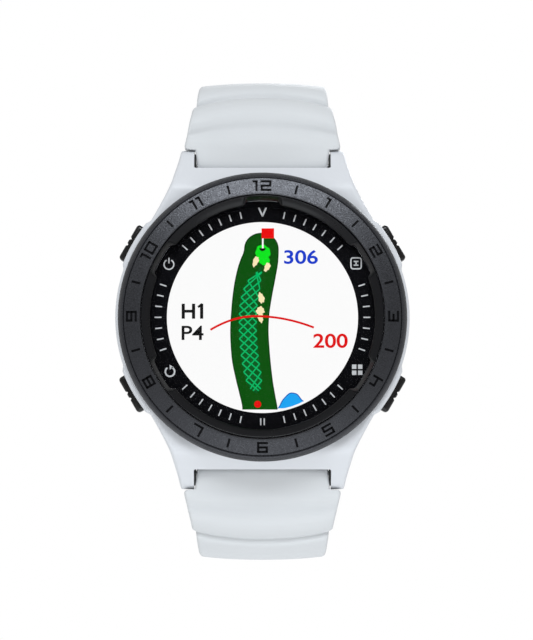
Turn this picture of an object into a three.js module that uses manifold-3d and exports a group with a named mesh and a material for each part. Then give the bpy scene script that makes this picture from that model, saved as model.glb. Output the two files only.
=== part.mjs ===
// Golf GPS watch: a 46 mm round watch head with four side buttons on a two-piece 22 mm silicone strap.
//
// Everything is modelled in the watch's own frame, in millimetres: +X points to 3 o'clock, +Y to
// 12 o'clock and +Z out of the display, with the flat outer face of the back cover on Z = 0.
// The last lines stand the watch up, so that the display faces -Y and 12 o'clock points to +Z.
// The strap is unfastened: its two halves curl back from the lugs and pass each other behind the case.
import * as THREE from "three";
import { mergeVertices } from "three/addons/utils/BufferGeometryUtils.js";
import Module from "manifold-3d";

const wasm = await Module();
wasm.setup();

// ---- Driving dimensions ------------------------------------------------------------------------

const ROUND = 48; // facets of the large turned parts
const SMALL = 16; // facets of pins, screws and stems
const FIT = 0.1; // usual air between two pieces that touch on the real watch

// Watch head.
const CASE_R = 23.5;
const CASE_TOP = 10.0;
const CASE_BACK = 0.5; // the case stops short of the back cover's outer face
const COLLAR_R = 20.1;
const COLLAR_TOP = 11.3;
const BEZEL_R = 23.0;
const BEZEL_BAND_IN = 19.55; // inner and outer edge of the sloped band that carries the numerals
const BEZEL_BAND_OUT = 22.0;
const BEZEL_TOP = 13.4;
const GLASS_R = 18.6;
const GLASS_BACK = 9.95;
const GLASS_FRONT = 11.35;
const DISPLAY_R = 15.25; // visible radius of the display
const LEDGE_Z = 6.2; // step in the cavity that carries the display frame
const CAVITY_R = 17.0;
const DISPLAY_CAVITY_R = 17.8;
const BACK_SEAT_Z = 1.5;
const BACK_SEAT_R = 20.0;
const COVER_R = 19.8;
const COVER_T = 1.4;

// Lugs and spring bars.
const BAR_Y = 24.8;
const BAR_Z = 2.8;
const LUG_GAP = 22.0;
const LUG_TIP_R = 2.6; // round end of a lug, about the bar
const BRIDGE_Y = 24.2; // the case reaches this far between the lugs
const BARREL_R = 2.2; // strap end round the bar
const POCKET_R = 2.5;
const BAR_R = 0.75;
const BAR_TUBE_R = 0.5;
const BAR_BORE_R = 0.9;
const PIN_R = 0.4;
const PIN_HOLE_R = 0.55;
const BAR_HALF = 10.6;
const PIN_REACH = 11.9;
const RELEASE_X = 7.0; // rest position of the quick-release lever
const RELEASE_TRAVEL = 1.4;

// Strap. A place on it is given by its distance from the spring bar along the strap's middle line.
const TONGUE_HALF = 10.75;
const ROOT_LENGTH = 2.8; // straight run out of the lugs
const SHOULDER_R = 9.5; // where the strap turns down to the wrist
const UPPER_CURL = 42; // radius of the rest of each half
const LOWER_CURL = 65;
const UPPER_LENGTH = 75; // spring bar to buckle bar
const LOWER_LENGTH = 115; // spring bar to tip
const TIP_LENGTH = 8.5;
const HOLE_R = 1.3;
const HOLE_PITCH = 5.5;
const HOLE_COUNT = 10;
const FIRST_HOLE = 50;
// [distance, half width, thickness outside and inside the middle line]
const STRAP_SECTIONS = [
  [2.8, 12.55, 2.4, 2.1],
  [4.4, 12.3, 2.0, 2.1],
  [6.2, 11.85, 2.0, 2.05],
  [8.3, 11.3, 2.4, 2.0],
  [9.0, 11.15, 2.5, 1.95],
  [9.5, 10.8, 2.0, 1.95],
  [12, 10.5, 1.95, 1.9],
  [17.7, 10.2, 1.8, 1.8],
  [21, 10, 1.7, 1.7],
  [34, 10, 1.3, 1.3],
];
const KEEPER_WALL = 1.1;
const FIXED_KEEPER = 66.5;
const FREE_KEEPER = 56;

// Buttons: four, 60 degrees either side of 12 and 6 o'clock.
const BUTTON_ANGLES = { upper_right: 60, lower_right: 120, lower_left: 240, upper_left: 300 };
const BUTTON_Z = 5.0;
const BUTTON_OUT = 24.9;
const BUTTON_IN = 22.9;
const BUTTON_LENGTH = 6.4;
const BUTTON_HEIGHT = 3.4;
const BUTTON_POCKET_R = 22.2;
const STEM_R = 0.9;
const STEM_END = 16.15;
const CLIP_GROOVE = 16.4;
const CLIP_GROOVE_WIDTH = 0.4;
const SPRING_SEAT = 20.5;
const SPRING_R = 1.58;
const SPRING_WIRE_R = 0.11;
const SPRING_TURNS = 3;
const SEAL_SEAT = 19.2;
const SEAL_BORE_R = 1.45;

// Buckle, measured from its bar.
const BUCKLE_ARM_IN = 10.4;
const BUCKLE_ARM_OUT = 12.2;
const BUCKLE_REACH = 9.2;
const BUCKLE_BAR_Y = 7.2; // inner edge of the front bar
const BUCKLE_T = 2.0;
const END_BARREL_R = 1.7;
const TANG_HALF = 1.1;

// ---- Colours ------------------------------------------------------------------------------------

const finish = (color, roughness, metalness = 0) =>
  new THREE.MeshStandardMaterial({ color, roughness, metalness });
const WHITE_CASE = finish(0xe6e9ec, 0.45);
const WHITE_SILICONE = finish(0xe0e4e8, 0.7);
const BLACK_BEZEL = finish(0x2b2b2f, 0.5);
const GLOSS_BLACK = finish(0x0b0b0d, 0.15);
const BUTTON_BLACK = finish(0x141312, 0.35);
const GLASS = finish(0xdfe8ee, 0.05);
const DISPLAY_WHITE = finish(0xf6f7f8, 0.5);
const RUBBER = finish(0x1c1c1e, 0.85);
const STEEL = finish(0xb9bcc0, 0.3, 1);
const GOLD = finish(0xd8b25a, 0.3, 1);
const BOARD_GREEN = finish(0x1e5a38, 0.6);
const CELL_SILVER = finish(0x8f9499, 0.45, 0.6);
const CERAMIC = finish(0xc9b79a, 0.7);
const FRAME_GREY = finish(0x3a3c40, 0.7);

// ---- Shape helpers ------------------------------------------------------------------------------

// A closed geometry as a solid that can be cut and joined.
function solid(geometry) {
  const bare = geometry.index ? geometry.toNonIndexed() : geometry.clone();
  for (const name of Object.keys(bare.attributes)) {
    if (name !== "position") bare.deleteAttribute(name);
  }
  const merged = mergeVertices(bare, 1e-4);
  return new wasm.Manifold(
    new wasm.Mesh({
      numProp: 3,
      vertProperties: merged.attributes.position.array,
      triVerts: new Uint32Array(merged.index.array),
    }),
  );
}

// A solid as a geometry for a mesh.
function geometryOf(made) {
  const mesh = made.getMesh();
  return new THREE.BufferGeometry()
    .setAttribute("position", new THREE.BufferAttribute(mesh.vertProperties, 3))
    .setIndex(new THREE.BufferAttribute(mesh.triVerts, 1));
}

const join = (first, ...others) => others.reduce((sum, next) => sum.add(next), first);
const cut = (first, ...others) => others.reduce((rest, next) => rest.subtract(next), first);

// A turned shape about Z from [radius, height] points. A profile off the axis closes on itself.
function turned(profile, facets = ROUND) {
  const points = profile.map(([r, z]) => new THREE.Vector2(r, z));
  if (THREE.ShapeUtils.area(points) < 0) points.reverse();
  if (points[0].x > 0) points.push(points[0].clone());
  return new THREE.LatheGeometry(points, facets).rotateX(Math.PI / 2);
}

// A plate from a shape in XY, from height low to height high.
const plate = (shape, low, high, curveSegments = 6) =>
  new THREE.ExtrudeGeometry(shape, { depth: high - low, bevelEnabled: false, curveSegments }).translate(
    0,
    0,
    low,
  );

const polygon = (points) => new THREE.Shape(points.map(([x, y]) => new THREE.Vector2(x, y)));

// A [y, z] outline carried along X from -half to half.
const across = (outline, half) =>
  plate(polygon(outline), -half, half)
    .rotateY(Math.PI / 2)
    .rotateX(Math.PI / 2);

function box(x0, x1, y0, y1, z0, z1) {
  return new THREE.BoxGeometry(x1 - x0, y1 - y0, z1 - z0).translate(
    (x0 + x1) / 2,
    (y0 + y1) / 2,
    (z0 + z1) / 2,
  );
}

// A cylinder between two places along one axis.
function rod(axis, radius, from, to, facets = SMALL) {
  const made = new THREE.CylinderGeometry(radius, radius, to - from, facets).translate(0, (from + to) / 2, 0);
  if (axis === "x") return made.rotateZ(-Math.PI / 2);
  if (axis === "z") return made.rotateX(Math.PI / 2);
  return made;
}

// Points of an arc in a plane, ends included, with angles in degrees.
function arc(cx, cy, radius, from, to, steps) {
  return Array.from({ length: steps + 1 }, (_, i) => {
    const a = THREE.MathUtils.degToRad(from + ((to - from) * i) / steps);
    return [cx + radius * Math.cos(a), cy + radius * Math.sin(a)];
  });
}

// A rounded rectangle centred on x, y.
function roundedRectangle(width, height, radius, x = 0, y = 0) {
  const [w, h] = [width / 2 - radius, height / 2 - radius];
  return polygon([
    ...arc(x + w, y + h, radius, 0, 90, 3),
    ...arc(x - w, y + h, radius, 90, 180, 3),
    ...arc(x - w, y - h, radius, 180, 270, 3),
    ...arc(x + w, y - h, radius, 270, 360, 3),
  ]);
}

// A skin through equal rings of [x, y, z] points, closed by a flat cap at each end. Seen along the
// way the rings follow each other, their points run clockwise.
function loft(rings) {
  const n = rings[0].length;
  const index = [];
  for (let i = 0; i + 1 < rings.length; i++) {
    for (let k = 0; k < n; k++) {
      const [a, b] = [i * n + k, i * n + ((k + 1) % n)];
      index.push(a, b + n, b, a, a + n, b + n);
    }
  }
  const last = (rings.length - 1) * n;
  for (let k = 1; k + 1 < n; k++) {
    index.push(0, k, k + 1, last, last + k + 1, last + k);
  }
  return new THREE.BufferGeometry()
    .setAttribute("position", new THREE.Float32BufferAttribute(rings.flat(2), 3))
    .setIndex(index);
}

const root = new THREE.Group();
const head = new THREE.Group();
root.add(head);

function addMesh(parent, name, geometry, material) {
  const mesh = new THREE.Mesh(geometry, material);
  mesh.name = name;
  parent.add(mesh);
  return mesh;
}

// Runs make(angle, name) for the four buttons, each in a group whose +Y points out of the case.
function atEachButton(make) {
  for (const [name, angle] of Object.entries(BUTTON_ANGLES)) {
    const place = new THREE.Group();
    place.rotation.z = -THREE.MathUtils.degToRad(angle);
    head.add(place);
    make(place, name);
  }
}

// The same solid turned to each button's place, as one list.
const turnedToButtons = (geometry) =>
  Object.values(BUTTON_ANGLES).map((angle) =>
    solid(geometry.clone().rotateZ(-THREE.MathUtils.degToRad(angle))),
  );

const SCREW_ANGLES = [45, 135, 225, 315];
const SCREW_CIRCLE_R = 18.4;
const turnedToScrews = (geometry) =>
  SCREW_ANGLES.map((angle) =>
    solid(geometry.clone().translate(SCREW_CIRCLE_R, 0, 0).rotateZ(THREE.MathUtils.degToRad(angle))),
  );

// ---- Case ----------------------------------------------------------------------------------------

// The lugs' side outline: a round end about the bar, and a 45 degree slope up to the case.
function lugBlock() {
  const side = across(
    [
      [14, CASE_BACK],
      [20.5, BAR_Z - LUG_TIP_R],
      ...arc(BAR_Y, BAR_Z, LUG_TIP_R, -90, 45, 9),
      [22.3, 8.98],
      [21.3, 9.6],
      [14, 9.9],
    ],
    20,
  );
  const half = [
    [0, 14],
    [19.0, 14],
    [17.3, 16.5],
    [15.8, 19.1],
    [14.7, 21.4],
    [13.9, 23.8],
    [13.5, 25.6],
    [13.1, 26.9],
    [12.3, 27.9],
    [0, 27.9],
  ];
  const front = plate(polygon([...half, ...half.slice(1, -1).reverse().map(([x, y]) => [-x, y])]), -5, 12);
  return solid(side).intersect(solid(front));
}

// The space between the lugs: the slot for the tongue and a round pocket for the strap's barrel.
function lugSlot() {
  const half = LUG_GAP / 2;
  return join(
    solid(box(-half, half, BRIDGE_Y, 32, -5, 14)),
    solid(rod("x", POCKET_R, -half, half, 32).translate(0, BAR_Y, BAR_Z)),
    solid(box(-half, half, BAR_Y - POCKET_R, 32, -5, BAR_Z)),
  );
}

function caseBody() {
  const barrel = solid(
    turned([
      [0, CASE_BACK],
      [21.2, CASE_BACK],
      [23.2, 2.6],
      [CASE_R, 4.2],
      [CASE_R, 9.0],
      [23.1, CASE_TOP],
      [COLLAR_R, CASE_TOP],
      [COLLAR_R, COLLAR_TOP],
      [0, COLLAR_TOP],
    ]),
  );
  const cavity = solid(
    turned([
      [0, -1],
      [BACK_SEAT_R, -1],
      [BACK_SEAT_R, BACK_SEAT_Z],
      [CAVITY_R, BACK_SEAT_Z],
      [CAVITY_R, LEDGE_Z],
      [DISPLAY_CAVITY_R, LEDGE_Z],
      [DISPLAY_CAVITY_R, 9.85],
      [19.3, 9.85],
      [19.3, 13],
      [0, 13],
    ]),
  );
  const pinHole = rod("x", PIN_HOLE_R, -12.3, 12.3, 12).translate(0, BAR_Y, BAR_Z);
  const buttonPocket = box(
    -BUTTON_LENGTH / 2 - 0.2,
    BUTTON_LENGTH / 2 + 0.2,
    BUTTON_POCKET_R,
    27,
    BUTTON_Z - BUTTON_HEIGHT / 2 - 0.2,
    BUTTON_Z + BUTTON_HEIGHT / 2 + 0.2,
  );
  const stemBore = rod("y", STEM_R + 0.15, 14, 23, 12).translate(0, 0, BUTTON_Z);
  const sealBore = rod("y", SEAL_BORE_R, SEAL_SEAT, 23, 12).translate(0, 0, BUTTON_Z);
  const springBore = rod("y", SPRING_R + 0.25, SPRING_SEAT, 23, 12).translate(0, 0, BUTTON_Z);
  const screwHole = rod("z", 0.75, 1, 4.8, 8);
  const turnedHalf = (made) => [made, made.rotate([0, 0, 180])];
  return cut(
    join(barrel, ...turnedHalf(lugBlock())),
    cavity,
    ...turnedHalf(lugSlot()),
    ...turnedHalf(solid(pinHole)),
    ...turnedToButtons(buttonPocket),
    ...turnedToButtons(stemBore),
    ...turnedToButtons(sealBore),
    ...turnedToButtons(springBore),
    ...turnedToScrews(screwHole),
  );
}
addMesh(head, "case_body", geometryOf(caseBody()), WHITE_CASE);

// ---- Bezel, flange and lens ----------------------------------------------------------------------

const bezelProfile = [
  [19.4, COLLAR_TOP + FIT],
  [COLLAR_R + FIT, COLLAR_TOP + FIT],
  [COLLAR_R + FIT, CASE_TOP + FIT],
  [BEZEL_R - 0.25, CASE_TOP + FIT],
  [BEZEL_R, CASE_TOP + 0.4],
  [BEZEL_R, 11.7],
  [22.35, 12.7],
  [BEZEL_BAND_OUT, 12.75],
  [BEZEL_BAND_IN, BEZEL_TOP],
  [19.4, 13.2],
];
addMesh(head, "bezel_ring", turned(bezelProfile), BLACK_BEZEL);

// The flange slopes from the bezel down to the lens. Its inner edge steps back round the five marks
// on the dial: 12 o'clock and one beside each button.
const FLANGE_OUT = 19.3;
const FLANGE_IN = 17.9;
const FLANGE_NOTCH = 18.55;
const FLANGE_LOW = GLASS_FRONT + FIT;
function innerFlange() {
  const ring = solid(
    turned([
      [FLANGE_IN, FLANGE_LOW],
      [FLANGE_OUT, FLANGE_LOW],
      [FLANGE_OUT, 13.1],
      [19.1, 13.15],
      [FLANGE_IN, FLANGE_LOW + 0.55],
    ]),
  );
  const notches = [0, ...Object.values(BUTTON_ANGLES)].map((angle) => {
    const wedge = [
      [-3.6, 15],
      [3.6, 15],
      [3.6, FLANGE_IN - 0.45],
      [2.5, FLANGE_NOTCH - 0.3],
      ...arc(0, 0, FLANGE_NOTCH, 96, 84, 3).reverse(),
      [-2.5, FLANGE_NOTCH - 0.3],
      [-3.6, FLANGE_IN - 0.45],
    ];
    return solid(plate(polygon(wedge), 11, 14).rotateZ(-THREE.MathUtils.degToRad(angle)));
  });
  return cut(ring, ...notches);
}
addMesh(head, "inner_flange", geometryOf(innerFlange()), GLOSS_BLACK);

addMesh(
  head,
  "lens",
  turned([
    [0, GLASS_BACK],
    [GLASS_R, GLASS_BACK],
    [GLASS_R, GLASS_FRONT - 0.2],
    [GLASS_R - 0.2, GLASS_FRONT],
    [0, GLASS_FRONT],
  ]),
  GLASS,
);
addMesh(
  head,
  "lens_gasket",
  turned(
    [
      [18.7, GLASS_BACK],
      [19.2, GLASS_BACK],
      [19.2, 11.2],
      [18.7, 11.2],
    ],
    ROUND,
  ),
  RUBBER,
);

// ---- Display stack -------------------------------------------------------------------------------

addMesh(
  head,
  "dial_ring",
  turned([
    [DISPLAY_R, 9.45],
    [17.65, 9.45],
    [17.65, 9.8],
    [DISPLAY_R, 9.8],
  ]),
  GLOSS_BLACK,
);
const disc = (radius, low, high, facets = 32) =>
  turned(
    [
      [0, low],
      [radius, low],
      [radius, high],
      [0, high],
    ],
    facets,
  );
addMesh(head, "display_panel", disc(16.9, 7.85, 9.35), DISPLAY_WHITE);
addMesh(head, "backlight", disc(16.8, 6.95, 7.75), DISPLAY_WHITE);
addMesh(
  head,
  "display_frame",
  turned([
    [9, 6.3],
    [17.6, 6.3],
    [17.6, 9.3],
    [17.15, 9.3],
    [17.15, 6.85],
    [9, 6.85],
  ]),
  FRAME_GREY,
);

// ---- Electronics ---------------------------------------------------------------------------------

const BOARD_LOW = 4.6;
const BOARD_HIGH = 5.4;
const SWITCH_IN = 13.4;
const SWITCH_OUT = 15.3;
function mainBoard() {
  const notch = box(-2.0, 2.0, SWITCH_IN - 0.2, 18, 4, 6);
  return cut(solid(disc(16.6, BOARD_LOW, BOARD_HIGH)), ...turnedToButtons(notch));
}
addMesh(head, "main_board", geometryOf(mainBoard()), BOARD_GREEN);
addMesh(
  head,
  "processor_shield",
  plate(roundedRectangle(9, 8, 0.6, -3, 2), BOARD_HIGH + 0.02, 6.2),
  STEEL,
);
addMesh(head, "gps_antenna", box(-5, 5, 8.6, 14.2, 2.5, BOARD_LOW - 0.05), CERAMIC);
addMesh(head, "battery", plate(roundedRectangle(19, 17, 1.2, -1.8, -1.0), 1.6, 4.3), CELL_SILVER);

const MOTOR_X = 12.3;
const MOTOR_Z = 2.95;
addMesh(
  head,
  "vibration_motor",
  rod("y", 1.35, -6, 1).translate(MOTOR_X, 0, MOTOR_Z),
  STEEL,
);
function motorWeight() {
  const halfMoon = cut(solid(rod("y", 1.25, 1.4, 4.2)), solid(box(-2, 2, 1, 5, 0.35, 2)));
  return join(halfMoon, solid(rod("y", 0.35, 1.1, 4.4, 8)));
}
addMesh(
  head,
  "motor_weight",
  geometryOf(motorWeight()).translate(MOTOR_X, 0, MOTOR_Z),
  STEEL,
);

// ---- Buttons -------------------------------------------------------------------------------------

// A cap with a relief across its front, and a stem with a groove for its clip.
function button() {
  const corner = 0.6;
  const half = BUTTON_LENGTH / 2;
  const outline = polygon([
    [-half, BUTTON_IN],
    [half, BUTTON_IN],
    ...arc(half - corner, BUTTON_OUT - corner, corner, 0, 90, 3),
    ...arc(-half + corner, BUTTON_OUT - corner, corner, 90, 180, 3),
  ]);
  const cap = plate(outline, -BUTTON_HEIGHT / 2, BUTTON_HEIGHT / 2);
  const relief = box(-0.3, 0.3, BUTTON_OUT - 0.3, BUTTON_OUT + 1, -3, 3);
  const stem = turned(
    [
      [0, STEM_END],
      [STEM_R, STEM_END],
      [STEM_R, CLIP_GROOVE],
      [STEM_R - 0.3, CLIP_GROOVE],
      [STEM_R - 0.3, CLIP_GROOVE + CLIP_GROOVE_WIDTH],
      [STEM_R, CLIP_GROOVE + CLIP_GROOVE_WIDTH],
      [STEM_R, BUTTON_IN + 0.4],
      [0, BUTTON_IN + 0.4],
    ],
    SMALL,
  ).rotateX(-Math.PI / 2);
  return join(cut(solid(cap), solid(relief)), solid(stem));
}

function stemClip() {
  const ring = turned(
    [
      [STEM_R - 0.22, CLIP_GROOVE + 0.05],
      [STEM_R + 0.3, CLIP_GROOVE + 0.05],
      [STEM_R + 0.3, CLIP_GROOVE + CLIP_GROOVE_WIDTH - 0.05],
      [STEM_R - 0.22, CLIP_GROOVE + CLIP_GROOVE_WIDTH - 0.05],
    ],
    SMALL,
  ).rotateX(-Math.PI / 2);
  return cut(solid(ring), solid(box(-0.45, 0.45, 16, 17.5, -2, 0)));
}

// A coil about Z, from height low to height high.
function coil(radius, wire, turns, low, high) {
  const steps = Math.round(turns * 14);
  const rings = Array.from({ length: steps + 1 }, (_, i) => {
    const a = (2 * Math.PI * turns * i) / steps;
    const z = low + wire + ((high - low - 2 * wire) * i) / steps;
    return arc(radius, z, wire, 0, 300, 5).map(([r, h]) => [r * Math.cos(a), r * Math.sin(a), h]);
  });
  return loft(rings);
}

function tactileSwitch() {
  const body = box(-1.8, 1.8, SWITCH_IN, SWITCH_OUT, -0.55, 0.8);
  return join(solid(body), solid(rod("y", 0.6, SWITCH_OUT - 0.2, SWITCH_OUT + 0.3, 12)));
}

atEachButton((place, side) => {
  const at = (geometry) => geometry.translate(0, 0, BUTTON_Z);
  addMesh(place, `button_${side}`, at(geometryOf(button())), BUTTON_BLACK);
  addMesh(place, `button_clip_${side}`, at(geometryOf(stemClip())), STEEL);
  const spring = coil(SPRING_R, SPRING_WIRE_R, SPRING_TURNS, SPRING_SEAT + 0.05, BUTTON_IN - 0.05);
  addMesh(place, `button_spring_${side}`, at(spring.rotateX(-Math.PI / 2)), STEEL);
  const seal = new THREE.TorusGeometry(1.18, 0.21, 6, SMALL).rotateX(Math.PI / 2);
  addMesh(place, `button_seal_${side}`, at(seal.translate(0, SEAL_SEAT + 0.55, 0)), RUBBER);
  addMesh(place, `switch_${side}`, at(geometryOf(tactileSwitch())), FRAME_GREY);
});

// ---- Back cover ----------------------------------------------------------------------------------

const CONTACT_XS = [-3.75, -1.25, 1.25, 3.75];
const CONTACT_Y = -11.6;
function backCover() {
  const cover = turned([
    [0, 0],
    [COVER_R - 0.4, 0],
    [COVER_R, 0.4],
    [COVER_R, COVER_T],
    [15.9, COVER_T],
    [15.9, COVER_T + 1],
    [15.1, COVER_T + 1],
    [15.1, COVER_T],
    [0, COVER_T],
  ]);
  const contactPocket = plate(roundedRectangle(11, 3, 1.2, 0, CONTACT_Y), -1, 0.3);
  const contactHoles = CONTACT_XS.map((x) => solid(rod("z", 0.75, -1, 2, 12).translate(x, CONTACT_Y, 0)));
  return cut(
    solid(cover),
    solid(contactPocket),
    ...contactHoles,
    ...turnedToScrews(rod("z", 1.3, -1, 1.05, 12)),
    ...turnedToScrews(rod("z", 0.8, 0, 2, 12)),
  );
}
addMesh(head, "back_cover", geometryOf(backCover()), FRAME_GREY);
addMesh(
  head,
  "back_gasket",
  turned([
    [16.0, BACK_SEAT_Z],
    [16.9, BACK_SEAT_Z],
    [16.9, 2.3],
    [16.0, 2.3],
  ]),
  RUBBER,
);

function backScrew() {
  const shank = turned(
    [
      [0, 0.2],
      [1.15, 0.2],
      [1.15, 0.95],
      [0.65, 0.95],
      [0.65, 4.5],
      [0, 4.5],
    ],
    12,
  );
  return cut(solid(shank), solid(rod("z", 0.5, -1, 0.6, 6)));
}
SCREW_ANGLES.forEach((angle, i) => {
  const screw = geometryOf(backScrew()).translate(SCREW_CIRCLE_R, 0, 0);
  addMesh(head, `back_screw_${i + 1}`, screw.rotateZ(THREE.MathUtils.degToRad(angle)), STEEL);
});
CONTACT_XS.forEach((x, i) => {
  const pad = rod("z", 0.65, 0.15, 1.9).translate(x, CONTACT_Y, 0);
  addMesh(head, `charge_contact_${i + 1}`, pad, GOLD);
});

// ---- Strap ---------------------------------------------------------------------------------------

// Place and heading of the strap's middle line: heading 0 points away from the case, and the strap
// then turns towards the wrist.
function pathAt(s, curl) {
  const shoulderEnd = ROOT_LENGTH + (SHOULDER_R * Math.PI) / 2;
  if (s <= ROOT_LENGTH) return { y: BAR_Y + s, z: BAR_Z, heading: 0 };
  const shoulderY = BAR_Y + ROOT_LENGTH;
  const shoulderZ = BAR_Z - SHOULDER_R;
  if (s <= shoulderEnd) {
    const turn = (s - ROOT_LENGTH) / SHOULDER_R;
    return {
      y: shoulderY + SHOULDER_R * Math.sin(turn),
      z: shoulderZ + SHOULDER_R * Math.cos(turn),
      heading: -turn,
    };
  }
  const turn = (s - shoulderEnd) / curl;
  return {
    y: shoulderY + SHOULDER_R - curl + curl * Math.cos(turn),
    z: shoulderZ - curl * Math.sin(turn),
    heading: -Math.PI / 2 - turn,
  };
}

// A geometry made about the origin, with +Y along the strap and +Z out of it, moved onto the strap.
function onStrap(geometry, s, curl) {
  const { y, z, heading } = pathAt(s, curl);
  return geometry.rotateX(heading).translate(0, y, z);
}

function sectionAt(s) {
  const next = STRAP_SECTIONS.findIndex(([at]) => at > s);
  if (next < 0) return STRAP_SECTIONS.at(-1).slice(1);
  if (next === 0) return STRAP_SECTIONS[0].slice(1);
  const [from, to] = [STRAP_SECTIONS[next - 1], STRAP_SECTIONS[next]];
  const share = (s - from[0]) / (to[0] - from[0]);
  return from.slice(1).map((value, i) => value + (to[i + 1] - value) * share);
}

function strapRing(s, curl, narrowing = 1) {
  const [half, outside, inside] = sectionAt(s);
  const { y, z, heading } = pathAt(s, curl);
  const [ux, uz] = [-Math.sin(heading), Math.cos(heading)];
  const w = half * narrowing;
  const corner = 0.8;
  const outline = [
    ...arc(w - corner, outside - corner, corner, 0, 90, 2),
    ...arc(-w + corner, outside - corner, corner, 90, 180, 2),
    ...arc(-w + corner, -inside + corner, corner, 180, 270, 2),
    ...arc(w - corner, -inside + corner, corner, 270, 360, 2),
  ];
  return outline.map(([x, up]) => [x, y + ux * up, z + uz * up]);
}

// The part of a strap half that both halves share: the tongue with its barrel, and the slot for the
// quick-release lever.
function strapRoot() {
  const tongue = across(
    [
      [BAR_Y, BAR_Z - 2.15],
      [BAR_Y + ROOT_LENGTH + 0.3, BAR_Z - 2.05],
      [BAR_Y + ROOT_LENGTH + 0.3, BAR_Z + 2.3],
      [BAR_Y, BAR_Z + 2.15],
    ],
    TONGUE_HALF,
  );
  return join(solid(tongue), solid(rod("x", BARREL_R, -TONGUE_HALF, TONGUE_HALF, 24).translate(0, BAR_Y, BAR_Z)));
}
function rootCuts() {
  const bore = rod("x", BAR_BORE_R, -12, 12, 16).translate(0, BAR_Y, BAR_Z);
  const leverSlot = box(RELEASE_X - 0.6 - RELEASE_TRAVEL - 0.3, RELEASE_X + 0.9, -0.75, 0.75, -4, 0);
  return [solid(bore), solid(leverSlot.translate(0, BAR_Y, BAR_Z))];
}

// Where to put the rings of a strap half that is swept as far as end.
function ringPlaces(end) {
  const places = STRAP_SECTIONS.map(([s]) => s);
  for (let s = 14; s < 18; s += 1.85) places.push(s);
  for (let s = 25; s < end - 1; s += 4.5) places.push(s);
  return places.sort((p, q) => p - q).filter((s, i, all) => i === 0 || s - all[i - 1] > 0.3);
}

function upperStrap() {
  const rings = [...ringPlaces(UPPER_LENGTH), UPPER_LENGTH];
  const band = loft(rings.map((s) => strapRing(s, UPPER_CURL)));
  const endBarrel = onStrap(rod("x", END_BARREL_R, -10, 10, 20), UPPER_LENGTH, UPPER_CURL);
  const endBore = onStrap(rod("x", BAR_BORE_R, -12, 12, 16), UPPER_LENGTH, UPPER_CURL);
  const tangSlot = onStrap(
    box(-TANG_HALF - 0.2, TANG_HALF + 0.2, -3.0, 4, -4, 4),
    UPPER_LENGTH,
    UPPER_CURL,
  );
  return cut(
    join(strapRoot(), solid(band), solid(endBarrel)),
    ...rootCuts(),
    solid(endBore),
    solid(tangSlot),
  );
}

function lowerStrap() {
  const tipFrom = LOWER_LENGTH - TIP_LENGTH;
  const tip = [0, 0.3, 0.55, 0.75, 0.9, 1].map((share) => {
    const s = tipFrom + TIP_LENGTH * share;
    return strapRing(s, LOWER_CURL, Math.sqrt(1 - (0.95 * share) ** 2));
  });
  const rings = ringPlaces(tipFrom).map((s) => strapRing(s, LOWER_CURL));
  const holes = Array.from({ length: HOLE_COUNT }, (_, i) =>
    solid(onStrap(rod("z", HOLE_R, -4, 4, 12), FIRST_HOLE + i * HOLE_PITCH, LOWER_CURL)),
  );
  return cut(join(strapRoot(), solid(loft([...rings, ...tip]))), ...rootCuts(), ...holes);
}

// Spring bar: a tube with a fixed pin at one end; the lever's pin slides in the other.
function barTube() {
  const tube = join(solid(rod("x", BAR_R, -BAR_HALF, BAR_HALF)), solid(rod("x", PIN_R, -PIN_REACH, -10, 10)));
  const slot = box(RELEASE_X - 0.6 - RELEASE_TRAVEL - 0.2, RELEASE_X + 0.8, -0.5, 0.5, -2, 0);
  return cut(tube, solid(rod("x", BAR_TUBE_R, 0, BAR_HALF + 1, 12)), solid(slot));
}
function releasePin() {
  const lever = box(RELEASE_X - 0.6, RELEASE_X + 0.6, -0.35, 0.35, -2.7, 0);
  return join(solid(rod("x", PIN_R, 2.5, PIN_REACH, 10)), solid(lever));
}

const upper = new THREE.Group();
const lower = new THREE.Group();
lower.rotation.z = Math.PI;
root.add(upper, lower);
addMesh(upper, "upper_strap", geometryOf(upperStrap()), WHITE_SILICONE);
addMesh(lower, "lower_strap", geometryOf(lowerStrap()), WHITE_SILICONE);
for (const [group, name] of [
  [upper, "upper"],
  [lower, "lower"],
]) {
  addMesh(group, `${name}_spring_bar`, geometryOf(barTube()).translate(0, BAR_Y, BAR_Z), STEEL);
  addMesh(group, `${name}_release_pin`, geometryOf(releasePin()).translate(0, BAR_Y, BAR_Z), STEEL);
}

// A keeper is a band round the strap, with room for the other half on the outside.
function keeper(length) {
  const [half, low, high] = [10.35, -1.6, 4.6];
  const [w, h] = [2 * half, high - low];
  const ring = roundedRectangle(w + 2 * KEEPER_WALL, h + 2 * KEEPER_WALL, 1.6, 0, (low + high) / 2);
  ring.holes.push(roundedRectangle(w, h, 0.7, 0, (low + high) / 2));
  return plate(ring, -length / 2, length / 2).rotateX(Math.PI / 2);
}
addMesh(upper, "fixed_keeper", onStrap(keeper(5), FIXED_KEEPER, UPPER_CURL), WHITE_SILICONE);
addMesh(upper, "free_keeper", onStrap(keeper(6), FREE_KEEPER, UPPER_CURL), WHITE_SILICONE);

// ---- Buckle --------------------------------------------------------------------------------------

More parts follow.
